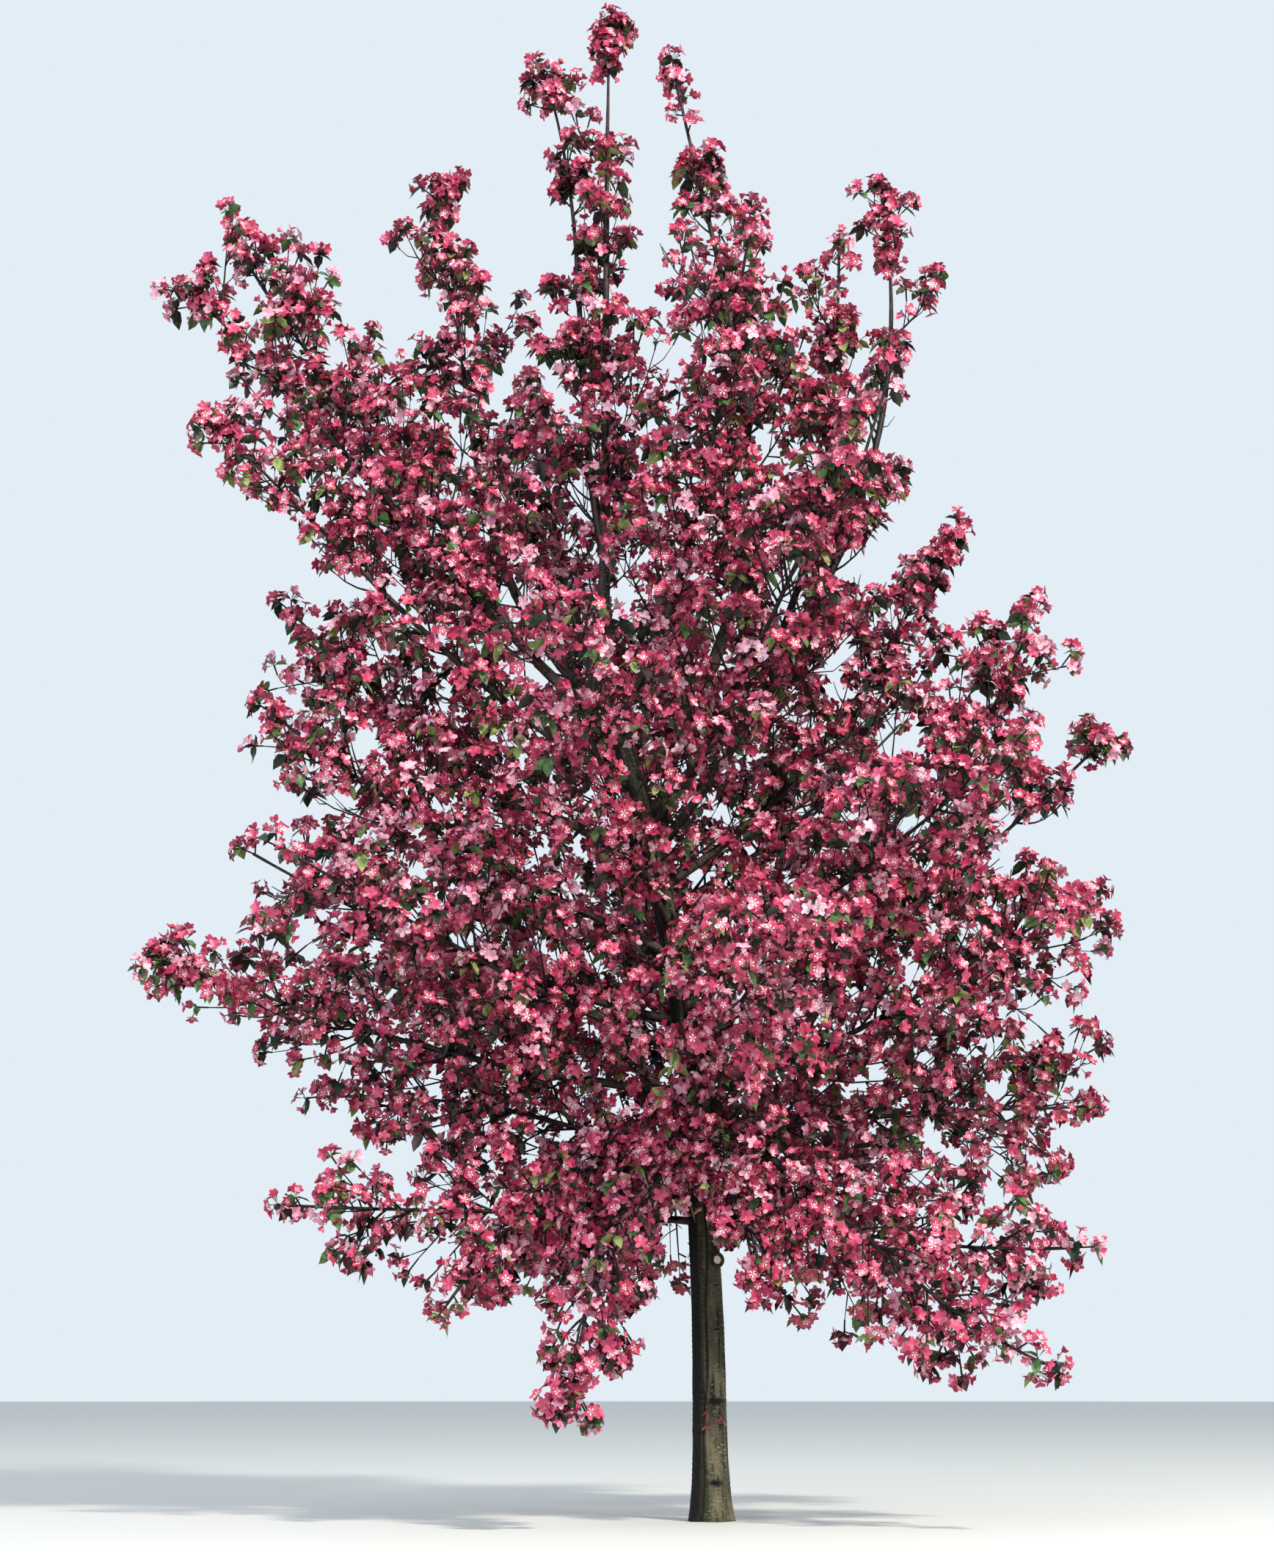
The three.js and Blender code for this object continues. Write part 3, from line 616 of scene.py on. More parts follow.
# Twigs: how many grow on a shoot of the solids and on a fine one, and their length as a share of its own.
TWIGS = 4
FINE_TWIGS = 1
TWIGS_START = 0.2
TWIGS_END = 0.9
TWIG_SHARE = 0.42
TWIG_TAPER = 0.4
TWIG_RADIUS = 0.0022
TWIG_TIP_RADIUS = 0.0011
STEM_SIDES = 8
STEM_STEP = 0.03

# A shoot is left out where the points at these shares of it come too close to the trunk or a limb. A limb
# is looked at up to a little way past its bough, and counts as thick as it is near its foot.
CHECKED_SHARES = [0.4, 0.7, 1.0]
KEPT_OFF = 0.012
PAST_BOUGH = 0.2
LINE_POINTS = 60
NEAR_FOOT = 0.1

# No blossom hangs before the pruning scar: a space that widens from it towards the front stays free.
SCAR_VIEW = 0.042
SCAR_VIEW_WIDENS = 0.03

# Openings in the crown, as the camera sees them in the upright plane of the trunk. Each: how far right
# and how high its middle lies, its half width, its half height, and how far away the crown stays open
# there. Most go all the way through, and the last ones only bare the trunk and a bough.
CAMERA_PLACE = np.array([-0.1835, -7.0, 0.326])
THROUGH = 9.0
OPENINGS = [
    (-0.52, 2.40, 0.063, 0.067, THROUGH),
    (-0.97, 2.41, 0.067, 0.055, THROUGH),
    (0.22, 2.42, 0.063, 0.099, THROUGH),
    (0.49, 2.01, 0.051, 0.055, THROUGH),
    (0.53, 1.78, 0.062, 0.050, THROUGH),
    (0.34, 2.22, 0.039, 0.055, THROUGH),
    (-0.33, 2.68, 0.048, 0.068, THROUGH),
    (-0.67, 2.84, 0.044, 0.048, THROUGH),
    (-0.44, 2.20, 0.055, 0.035, THROUGH),
    (-1.13, 1.66, 0.085, 0.050, THROUGH),
    (0.82, 1.73, 0.066, 0.054, THROUGH),
    (-0.98, 1.84, 0.066, 0.035, THROUGH),
    (-0.63, 1.46, 0.042, 0.038, THROUGH),
    (0.50, 2.87, 0.080, 0.080, THROUGH),
    (-0.37, 3.38, 0.041, 0.094, THROUGH),
    (0.43, 2.46, 0.111, 0.044, THROUGH),
    (-0.03, 1.64, 0.043, 0.046, THROUGH),
    (0.26, 1.80, 0.050, 0.031, THROUGH),
    (-0.15, 3.49, 0.037, 0.143, THROUGH),
    (0.36, 1.62, 0.031, 0.035, THROUGH),
    (-0.08, 0.72, 0.043, 0.060, THROUGH),
    (0.07, 0.66, 0.030, 0.055, THROUGH),
    (-0.02, 0.75, 0.035, 0.070, -0.03),
    (-0.17, 1.91, 0.035, 0.117, -0.03),
    (-0.15, 1.45, 0.031, 0.058, -0.03),
    (-0.47, 2.26, 0.043, 0.039, -0.06),
    (-0.40, 2.21, 0.043, 0.039, -0.06),
    (-0.34, 2.17, 0.043, 0.039, -0.06),
]

# Long shoots that fill out or stand out of the crown's outline by themselves. Each: its limb, the share
# along it where it springs, and how far right, away and up its tip lies from there. Its middle has
# reached less than half the height.
LONG_SHOOTS = [
    ("leader", 0.96, 0.01, 0.01, 0.10),
    ("upper_left", 0.93, 0.01, 0.02, 0.29),
    ("left_prong", 0.90, -0.04, -0.03, 0.14),
    ("left_prong", 0.84, 0.01, 0.03, 0.20),
    ("left_prong", 0.76, 0.04, -0.02, 0.22),
    ("left_fork", 0.78, -0.06, 0.00, 0.19),
    ("right_prong", 0.80, -0.08, 0.02, 0.18),
    ("top_right", 0.62, 0.14, 0.03, 0.09),
    ("top_right", 0.52, 0.11, -0.05, 0.06),
    ("right_upper", 0.74, -0.13, -0.04, 0.14),
    ("top_right", 0.58, -0.14, 0.00, 0.09),
    ("front_crown", 0.62, -0.14, 0.04, -0.10),
    ("leader", 0.30, 0.13, 0.06, -0.11),
    ("left_high", 0.78, -0.22, -0.03, -0.04),
    ("left_high", 0.66, -0.24, 0.05, -0.02),
    ("left_mid", 0.88, -0.15, 0.05, 0.02),
    ("left_mid", 0.78, -0.14, -0.03, -0.01),
    ("left_mid", 0.68, -0.13, 0.04, -0.01),
    ("front_left", 0.88, -0.14, 0.03, -0.08),
    ("left_low", 0.72, -0.15, -0.03, -0.09),
    ("right_shoulder", 0.72, 0.15, 0.03, -0.03),
    ("right_high", 0.62, -0.02, -0.04, 0.18),
    ("right_high", 0.84, -0.05, 0.03, 0.16),
    ("right_high", 0.86, 0.13, -0.03, 0.02),
    ("right_low", 0.76, 0.17, 0.03, -0.09),
    ("right_low", 0.66, 0.20, -0.04, -0.14),
    ("right_arch", 0.74, 0.16, 0.04, 0.15),
    ("right_arch", 0.62, 0.17, -0.03, 0.17),
    ("right_skirt", 0.72, 0.13, 0.03, -0.08),
    ("leader", 0.14, 0.10, -0.05, 0.09),
    ("leader", 0.22, 0.10, 0.03, 0.02),
    ("top_left", 0.34, -0.09, -0.03, 0.08),
    ("top_right", 0.56, 0.07, 0.05, 0.06),
    ("left_shoulder", 0.70, -0.03, 0.02, 0.18),
    ("right_shoulder", 0.86, 0.07, -0.02, 0.08),
    ("left_fork", 0.62, -0.16, 0.02, 0.10),
    ("right_mid", 0.56, 0.12, -0.04, -0.09),
    ("right_low", 0.60, 0.12, -0.05, 0.13),
    ("right_low", 0.80, 0.06, 0.05, 0.12),
    ("right_arch", 0.52, 0.10, 0.05, 0.14),
    ("right_arch", 0.80, 0.07, -0.04, 0.12),
    ("right_skirt", 0.60, 0.10, -0.04, 0.12),
    ("left_low", 0.62, -0.12, -0.04, 0.10),
    ("left_reach", 0.64, -0.10, 0.04, 0.12),
]
LONG_SHOOT_MIDDLE = np.array([0.5, 0.5, 0.35])

# The tuft of a whip: how many shoots it has, and by what share the last is shorter than the first.
TUFT_SHOOTS = 5
TUFT_TAPER = 0.3

# The trunk's own short shoots: how many, from which height up, and their length.
TRUNK_SHOOTS = 44
TRUNK_SHOOTS_FROM = 0.84
TRUNK_SHOOT_LENGTH = 0.25


def fraction(values):
    """What is left of numbers above their whole part."""
    return values - np.floor(values)


# Luck comes from the last digits of a sine, so that it is the same each time. These mix the numbers of
# limb, shoot and use, and bring the last digits up.
LIMB_MIX = 12.9898
SHOOT_MIX = 78.233
USE_MIX = 37.719
LAST_DIGITS = 43758.5453


def chance(limb, shoot, use):
    """A number from 0 to 1 for a limb, a shoot and a use: 1 for a shoot's lean, 2 for its length, 3 for a
    twig's place and 4 for a spur's length."""
    return fraction(np.sin(limb * LIMB_MIX + shoot * SHOOT_MIX + use * USE_MIX) * LAST_DIGITS)


def leaning(ways, normals, lean, turn):
    """Directions that lean from a way by an angle, turned round it from its normal."""
    across = np.cross(ways, normals)
    return (ways * np.cos(lean)[..., None] + normals * (np.sin(lean) * np.cos(turn))[..., None]
            + across * (np.sin(lean) * np.sin(turn))[..., None])


def grow(feet, ways, normals, owner, number, place, spread, taper, bend):
    """Side shoots by the rule of the solids: each leans out from its parent, turned on by a fixed part of
    a round from the one before, is shorter towards the tip, and bends halfway as its limb's tip does.
    Gives the three control points of each curve and the normal of its plane."""
    turn = 2 * np.pi * fraction(FIRST_PLACE + number * ROUND_STEP + owner * LIMB_TURN)
    lean = np.radians(SHOOT_LEAN + SHOOT_LEAN_SPREAD * (chance(owner, number, 1) - 0.5))
    luck = 1 + SHOOT_LUCK * (chance(owner, number, 2) - 0.5)
    half = (spread * (1 - taper * place) * luck / 2)[..., None]
    first = leaning(ways, normals, lean, turn)
    second = unit(first + UP * (SHOOT_BEND * np.sin(bend))[..., None])
    middle = feet + first * half
    return np.stack([feet, middle, middle + second * half], -2), unit(np.cross(first, UP))


def taper_tubes(controls, normals, foot_radius, tip_radius, rings, sides):
    """Closed tubes along curves, their radius going evenly from foot to tip."""
    shares = np.broadcast_to(np.linspace(0, 1, rings), (len(controls), rings))
    centres, ways = walk(controls, shares)
    radii = foot_radius + (tip_radius - foot_radius) * shares
    flat = np.broadcast_to(normals[:, None, :], centres.shape)
    points = rings_round(centres, ways, flat, radii[..., None] * np.ones(sides), sides)
    return points.reshape(-1, 3), ring_faces(len(controls), rings, sides)


def clear_of_limbs(points, owners):
    """Whether all the points of each shoot keep off the trunk and off every limb but their own."""
    from_axis = points - trunk_axis(points[..., 2].clip(0, FORK_HEIGHT))
    trunk_away = np.linalg.norm(from_axis[..., :2], axis=-1)
    clear = (trunk_away > trunk_radius(points[..., 2], 0.0) + KEPT_OFF) | (points[..., 2] > FORK_HEIGHT)
    for limb in limbs:
        line, _ = limb.at(np.linspace(0, limb.bare + PAST_BOUGH, LINE_POINTS))
        away = np.linalg.norm(points[..., None, :] - line, axis=-1).min(-1)
        clear &= (away > limb.radius(NEAR_FOOT) + KEPT_OFF) | (owners == limb.number)[:, None]
    out = scar_centre[1] - points[..., 1]
    aside = np.linalg.norm((points - scar_centre)[..., [0, 2]], axis=-1)
    clear &= (out < 0) | (aside > SCAR_VIEW + SCAR_VIEW_WIDENS * out)
    return clear.all(-1)


def in_openings(points):
    """Which points lie in an opening: lines from the camera are followed to the trunk's plane, and an
    opening is an ellipse there."""
    seen = CAMERA_PLACE + (points - CAMERA_PLACE) * (CAMERA_PLACE[1] / (CAMERA_PLACE[1] - points[..., 1:2]))
    right, height, half_width, half_height, depth = np.array(OPENINGS).T
    inside = (((seen[..., None, 0] - right) / half_width) ** 2
              + ((seen[..., None, 2] - height) / half_height) ** 2) < 1
    return (inside & (points[..., None, 1] < depth)).any(-1)


numbers = np.arange(SHOOTS + FINE_SHOOTS)
places = fraction(FIRST_PLACE + numbers * ALONG_STEP)
fine_lengths = FINE_LENGTH[0] + (FINE_LENGTH[1] - FINE_LENGTH[0]) * places
grown = []
for limb in limbs:
    slimmer = 1 - UPRIGHT_LOSS * places * max(0.0, math.sin(limb.arrive))**2
    lengths = np.where(numbers < SHOOTS, 1.0, fine_lengths * slimmer)
    start = np.where(numbers < SHOOTS, limb.bare, FINE_FROM * limb.bare)
    shares = start + (1 - start) * (SHOOTS_START + (SHOOTS_END - SHOOTS_START) * places)
    feet, ways = limb.at(shares)
    controls, normals = grow(feet, ways, np.broadcast_to(limb.normal, feet.shape), limb.number, numbers,
                             places, limb.spread * lengths, SHOOT_TAPER, np.full(len(numbers), limb.arrive))
    kept = (numbers < SHOOTS) | (shares < limb.whip)
    grown.append((controls[kept], normals[kept], np.full(kept.sum(), limb.number), numbers[kept]))
    if limb.whip == 1.0:
        continue
    # Beyond its whip a limb has a tuft of short shoots.
    tuft_numbers = np.arange(TUFT_SHOOTS)
    feet, ways = limb.at(limb.tuft + (1 - limb.tuft) * tuft_numbers / TUFT_SHOOTS)
    controls, normals = grow(feet, ways, np.broadcast_to(limb.normal, feet.shape), limb.number,
                             tuft_numbers, tuft_numbers / TUFT_SHOOTS,
                             np.full(TUFT_SHOOTS, limb.tuft_shoot), TUFT_TAPER, np.zeros(TUFT_SHOOTS))
    grown.append((controls, normals, np.full(TUFT_SHOOTS, limb.number), tuft_numbers + SHOOTS))

# A long shoot bends evenly from its limb to its tip, and has twigs as the others do.
for number, (name, share, *offset) in enumerate(LONG_SHOOTS):
    limb = limb_named[name]
    foot = limb.at([share])[0][0]
    offset = np.array(offset)
    controls = np.array([[foot, foot + offset * LONG_SHOOT_MIDDLE, foot + offset]])
    grown.append((controls, unit(np.cross(offset, UP))[None],
                  np.array([limb.number]), np.array([number % SHOOTS])))

# The trunk has short shoots of its own, by the same rule.
numbers = np.arange(TRUNK_SHOOTS)
places = fraction(FIRST_PLACE + numbers * ALONG_STEP)
feet = trunk_axis(TRUNK_SHOOTS_FROM + (FORK_HEIGHT - TRUNK_SHOOTS_FROM) * places)
controls, normals = grow(feet, np.broadcast_to(UP, feet.shape), np.broadcast_to([1.0, 0, 0], feet.shape),
                         len(limbs), numbers, places, TRUNK_SHOOT_LENGTH, 0.0, np.zeros(TRUNK_SHOOTS))
grown.append((controls, normals, np.full(TRUNK_SHOOTS, len(limbs)), numbers + SHOOTS))

shoot_controls, shoot_normals, shoot_owner, shoot_number = (np.concatenate(part) for part in zip(*grown))
checked, _ = walk(shoot_controls, np.broadcast_to(CHECKED_SHARES, (len(shoot_controls), 3)))
kept = clear_of_limbs(checked, shoot_owner) & ~in_openings(checked[:, 1:]).all(-1)
shoot_controls, shoot_normals = shoot_controls[kept], shoot_normals[kept]
shoot_owner, shoot_number = shoot_owner[kept], shoot_number[kept]
shoot_id = shoot_owner * (SHOOTS + FINE_SHOOTS) + shoot_number
shoot_length = 2 * np.linalg.norm(shoot_controls[:, 1] - shoot_controls[:, 0], axis=1)
arrivals = np.append([limb.arrive for limb in limbs], 0.0)


def dealt(counts):
    """For each of many things dealt out by counts: whose it is, and its place among that one's own."""
    owner = np.repeat(np.arange(len(counts)), counts)
    starts = np.cumsum(counts) - counts
    return owner, np.arange(len(owner)) - starts[owner]


twig_parent, twig_number = dealt(np.where(shoot_number < SHOOTS, TWIGS, FINE_TWIGS))
twig_chance = chance(shoot_id[twig_parent], twig_number, 3)
twig_place = fraction(FIRST_PLACE + twig_number * ALONG_STEP + twig_chance)
twig_share = TWIGS_START + (TWIGS_END - TWIGS_START) * twig_place
feet, ways = walk(shoot_controls[twig_parent], twig_share[:, None])
twig_controls, twig_normals = grow(feet[:, 0], ways[:, 0], shoot_normals[twig_parent],
                                   shoot_id[twig_parent], twig_number, twig_place,
                                   TWIG_SHARE * shoot_length[twig_parent], TWIG_TAPER,
                                   arrivals[shoot_owner[twig_parent]])
twig_length = 2 * np.linalg.norm(twig_controls[:, 1] - twig_controls[:, 0], axis=1)

# Spurs: one every few centimetres on stems, shoots and twigs, and one that goes on from each tip. Those
# of a tuft stand closer and are shorter. The angles are how far a spur leans from its wood, beside it and
# at its tip, where it is longer by its growth.
STEM_SPUR_STEP = 0.056
BOUGH_SPURS_FROM = 0.5
TUFT_SPUR_STEP = 0.016
TUFT_SPUR_SHARE = 0.4
SHOOT_SPUR_STEP = 0.076
SPUR_LEAN = 60
TIP_LEAN = 6
SPUR_LENGTH = (0.008, 0.034)
TIP_GROWTH = 0.012
SPUR_RADIUS = 0.0024
SPUR_END_RADIUS = 0.0030


def spurs_on(points, ways, normals, radii, number, owner, at_tip, size=1.0):
    """Feet and ends of spurs: they lean out in turn round their wood, and the last goes on as it."""
    turn = 2 * np.pi * fraction(number * LIMB_TURN + owner * ROUND_STEP)
    lean = np.radians(np.where(at_tip, TIP_LEAN, SPUR_LEAN))
    outward = unit(leaning(points * 0 + ways, normals, lean, turn))
    length = radii + SPUR_LENGTH[0] + (SPUR_LENGTH[1] - SPUR_LENGTH[0]) * chance(owner, number, 4)
    length = length * size + TIP_GROWTH * at_tip
    return points, points + outward * length[:, None], owner, at_tip


spurs = []
for limb in limbs:
    along = np.arange(BOUGH_SPURS_FROM * limb.bare, limb.whip, STEM_SPUR_STEP / limb.length)
    tuft = np.append(np.arange(limb.tuft, 1.0, TUFT_SPUR_STEP / limb.length), 1.0)
    shares = np.concatenate([along[along < limb.tuft], tuft])
    points, ways = limb.at(shares)
    number = np.arange(len(shares))
    spurs.append(spurs_on(points, ways, np.broadcast_to(limb.normal, points.shape), limb.radius(shares),
                          number, np.full(len(shares), limb.number), shares >= 1.0,
                          np.where((shares >= limb.tuft) & (limb.whip < 1.0), TUFT_SPUR_SHARE, 1.0)))
for controls, normals, length, radius, owner in (
    (shoot_controls, shoot_normals, shoot_length, SHOOT_TIP_RADIUS, shoot_owner),
    (twig_controls, twig_normals, twig_length, TWIG_TIP_RADIUS, shoot_owner[twig_parent]),
):
    counts = np.maximum(1, np.round(length / SHOOT_SPUR_STEP).astype(int))
    parent, number = dealt(counts)
    shares = (number + 1) / counts[parent]
    points, ways = walk(controls[parent], shares[:, None])
    spurs.append(spurs_on(points[:, 0], ways[:, 0], normals[parent], np.full(len(parent), radius),
                          number + parent, owner[parent], shares >= 1.0))
spur_feet, spur_ends, spur_owner, spur_is_tip = (np.concatenate(part) for part in zip(*spurs))
kept = clear_of_limbs(spur_ends[:, None, :], spur_owner) & ~in_openings(spur_ends)
spur_feet, spur_ends = spur_feet[kept], spur_ends[kept]
spur_owner, spur_is_tip = spur_owner[kept], spur_is_tip[kept]
spur_ways = unit(spur_ends - spur_feet)


NEARLY_UPRIGHT = 0.9


def square_to(ways):
    """Two unit directions at right angles to each way and to each other."""
    lying = np.abs(ways[..., 2:]) < NEARLY_UPRIGHT
    reference = np.where(lying, UP, np.array([1.0, 0.0, 0.0]))
    first = unit(np.cross(ways, reference))
    return first, np.cross(ways, first)


def alike(points, faces):
    """Points and triangles of many pieces of one build: one piece's faces, counted on for each."""
    starts = np.arange(len(points)) * points.shape[1]
    return points.reshape(-1, 3), (faces + starts[:, None, None]).reshape(-1, 3)


def join(parts):
    """One array of points and one of triangles from several of each."""
    starts = np.cumsum([0] + [len(points) for points, _ in parts[:-1]])
    return (np.concatenate([points for points, _ in parts]),
            np.concatenate([triangles + start for (_, triangles), start in zip(parts, starts)]))


def living_skin(name, shade, colour, tones, relief, height, strength, **finish):
    """Two near tones that drift into each other, over fine relief of a height in metres. Tones and relief
    are both noise: patches a metre, its two levels, and its detail."""
    material, tree, surface = new_material(name)
    place = add_node(tree, "ShaderNodeTexCoord").outputs["Object"]
    tinted = blend_colours(tree, patchy(tree, place, *tones), shade, colour)
    lit_surface(tree, surface, tinted, patchy(tree, place, *relief), height, strength, **finish)
    return material


# Bark of one to nine years: near black plum in patches 20 mm wide, with a grain of 2 mm and a waxy gloss.
twig_bark = living_skin("twig_bark", "#140F11", "#2E2321", tones=(45.0, 0.4, 0.6), relief=(500.0, 0.3, 0.7),
                        height=0.0004, strength=0.6, Roughness=0.5, Specular_IOR_Level=0.25)
wood = []
for limb in limbs:
    start = limb.bare if limb.bare > 0 else clear_of_trunk(limb)
    points, _ = limb_skin(limb, start, 1.0, STEM_SIDES, STEM_STEP)
    wood.append((points.reshape(-1, 3), ring_faces(1, len(points), STEM_SIDES)))
spur_lines = np.stack([spur_feet, spur_ends], 1)
wood += [
    taper_tubes(shoot_controls, shoot_normals, SHOOT_RADIUS, SHOOT_TIP_RADIUS, rings=5, sides=3),
    taper_tubes(twig_controls, twig_normals, TWIG_RADIUS, TWIG_TIP_RADIUS, rings=3, sides=3),
    taper_tubes(spur_lines, square_to(spur_ways)[0], SPUR_RADIUS, SPUR_END_RADIUS, rings=2, sides=3),
]
make_piece("twigs_and_spurs", *join(wood), twig_bark, "bark", [f"blossom_{limb.name}" for limb in limbs])


# Blossom: every spur ends in a truss of three to six flowers and some buds on thin dark stalks. A flower
# has five spoon-shaped petals of thin silky tissue, deep rose with a pale foot, round a tuft of stamens.
# Every second flower shows its pale feet and its stamens, and the others hide them.
SEED = 20
FLOWERS = (3, 6)
BUDS = (1, 2)
PETAL_LENGTH = 0.0203
PETALS = 5

# Stalks: their lengths, their radius at the flower, the turn from each to the next, and how much chance
# shifts their lean, as a share of the way from one to the next, and their turn. Those of the flowers and
# of the buds spread to a widest angle and are lifted towards the light.
STALK = (0.016, 0.032)
STALK_RADIUS = 0.0019
GOLDEN_TURN = math.radians(137.5)
STALK_SHIFT = (0.1, 0.9)
STALK_TURN_JITTER = 0.25
FLOWER_SPREAD = math.radians(78)
FLOWER_LIFT = 0.12
BUD_SPREAD = math.radians(88)
BUD_LIFT = 0.1
random = np.random.default_rng(SEED)


def stalks_of(owner, place, total, widest, lift):
    """Where stalks from each spur's end lead: they spiral out from the spur's own way by a fixed turn,
    each leaning more than the one before, and are lifted a little. Gives their ends and directions."""
    ways = spur_ways[owner]
    first, _ = square_to(ways)
    lean = widest * np.sqrt((place + random.uniform(*STALK_SHIFT, len(owner))) / total)
    turn = place * GOLDEN_TURN + spur_phase[owner] + random.normal(0, STALK_TURN_JITTER, len(owner))
    out = unit(leaning(ways, first, lean, turn) + lift * UP)
    length = random.uniform(*STALK, len(owner))
    return spur_ends[owner] + out * length[:, None], out


spur_phase = random.uniform(0, 2 * np.pi, len(spur_ends))
flower_counts = random.integers(FLOWERS[0], FLOWERS[1] + 1, len(spur_ends))
flower_spur, flower_place = dealt(flower_counts)
flower_centre, flower_out = stalks_of(flower_spur, flower_place, flower_counts[flower_spur],
                                      FLOWER_SPREAD, FLOWER_LIFT)
bud_counts = random.integers(BUDS[0], BUDS[1] + 1, len(spur_ends))
bud_spur, bud_place = dealt(bud_counts)
bud_centre, bud_out = stalks_of(bud_spur, bud_place + 0.5, bud_counts[bud_spur] + 0.5, BUD_SPREAD, BUD_LIFT)

# Each petal: shares of its length along it, across it, and up towards the flower's inside, for its foot,
# its right edge, the two corners of its blunt tip and its left edge. The edges stand up, as a spoon's do.
PETAL_ALONG = np.array([0.0, 0.56, 0.97, 0.97, 0.56])
PETAL_ACROSS = np.array([0.0, 0.36, 0.17, -0.17, -0.36])
PETAL_UP = np.array([0.0, 0.15, 0.02, 0.02, 0.15])
PETAL_FACES = np.array([[0, 1, 2], [0, 2, 3], [0, 3, 4]])
PETAL_JITTER = 0.13

# How far petals open from the flower's axis, in degrees: a share of the flowers is half open. Then the
# range of their sizes, and how much chance turns a flower away from its stalk's own way.
HALF_OPEN_SHARE = 0.16
HALF_OPEN = (28, 48)
WIDE_OPEN = (56, 84)
FLOWER_SIZES = (0.88, 1.1)
FACING_JITTER = 0.30

# The pale foot is a narrow wedge that lies just above the petal. Its colour is the claw's own pale tone,
# made whiter to stand in as painted highlight.
FOOT_ALONG = np.array([0.02, 0.46, 0.46])
FOOT_ACROSS = np.array([0.0, 0.12, -0.12])
FOOT_UP = np.array([0.03, 0.09, 0.09])
# A stamen is a wedge that widens to its anther.
STAMENS = 3
STAMEN_ALONG = np.array([0.0, 0.46, 0.46])
STAMEN_ACROSS = np.array([0.0, 0.045, -0.045])
STAMEN_UP = np.zeros(3)
STAMEN_LEAN = 24
STAMEN_JITTER = 0.12
WEDGE_FACES = np.array([[0, 1, 2]])

open_angle = np.where(random.uniform(size=len(flower_spur)) < HALF_OPEN_SHARE,
                      random.uniform(*np.radians(HALF_OPEN), len(flower_spur)),
                      random.uniform(*np.radians(WIDE_OPEN), len(flower_spur)))
flower_size = PETAL_LENGTH * random.uniform(*FLOWER_SIZES, len(flower_spur))
flower_facing = unit(flower_out + FACING_JITTER * random.normal(size=flower_out.shape))
flower_spin = random.uniform(0, 2 * np.pi, len(flower_spur))


def round_flower(chosen, along, across, up, parts, lean, jitter=0.0):
    """Petals or like parts set evenly round the middles of the chosen flowers. A part's own way leans
    from the flower's axis; a point lies along it, across it, and up at right angles to both."""
    axis = flower_facing[chosen]
    first, second = square_to(axis)
    turn = flower_spin[chosen][:, None] + np.arange(parts) * 2 * np.pi / parts
    radial = first[:, None] * np.cos(turn)[..., None] + second[:, None] * np.sin(turn)[..., None]
    across_way = np.cross(axis[:, None], radial)
    tilt = (lean + jitter * random.normal(size=turn.shape))[..., None]
    way = radial * np.sin(tilt) + axis[:, None] * np.cos(tilt)
    inside = axis[:, None] * np.sin(tilt) - radial * np.cos(tilt)
    size = flower_size[chosen][:, None, None, None]
    points = flower_centre[chosen][:, None, None] + size * (
        way[:, :, None] * along[:, None] + across_way[:, :, None] * across[:, None]
        + inside[:, :, None] * up[:, None])
    return points.reshape(-1, len(along), 3)


def petal_tissue(name, shade, colour, gleam):
    """Petal tissue: silky, with cells too small to see that scatter light as a soft sheen. Its colour
    drifts by a tone every 18 mm, and fine veins every 3 mm raise it a little."""
    return living_skin(name, shade, colour, tones=(55.0, 0.35, 0.65), relief=(330.0, 0.4, 0.6, 2.0),
                       height=0.0006, strength=0.35, Roughness=0.36, Sheen_Weight=0.18,
                       Sheen_Roughness=0.3, Sheen_Tint=linear(gleam))


# Petal tones, dealt out truss by truss, with every third petal a tone of its own. Each: how often it
# comes against the others, and its darker and its lighter colour.
PETAL_TONES = [
    ("deep", 44, "#942041", "#AE3154"),
    ("rose", 36, "#A93255", "#C24C6D"),
    ("light", 15, "#C27A92", "#D69CAE"),
    ("fading", 4, "#CA94A6", "#DAAEBC"),
]
OWN_TONE_SHARE = 0.34


def dealt_tones(tones, count):
    """Random tones, each as often as its share of the whole table says."""
    shares = np.array([tone[1] for tone in tones]) / sum(tone[1] for tone in tones)
    return random.choice(len(tones), count, p=shares)


every = np.arange(len(flower_spur))
petals = round_flower(every, PETAL_ALONG, PETAL_ACROSS, PETAL_UP, PETALS, open_angle[:, None], PETAL_JITTER)
petal_tone = np.repeat(dealt_tones(PETAL_TONES, len(spur_ends))[flower_spur], PETALS)
petal_tone = np.where(random.uniform(size=len(petals)) < OWN_TONE_SHARE,
                      dealt_tones(PETAL_TONES, len(petals)), petal_tone)
for tone, (tone_name, _, shade, colour) in enumerate(PETAL_TONES):
    make_piece(f"petals_{tone_name}", *alike(petals[petal_tone == tone], PETAL_FACES),
               petal_tissue(f"petal_{tone_name}", shade, colour, "#FFD9E4"), "blossom")
showing = every[flower_place % 2 == 0]
pale_feet_and_highlight = round_flower(showing, FOOT_ALONG, FOOT_ACROSS, FOOT_UP, PETALS, open_angle[showing][:, None])
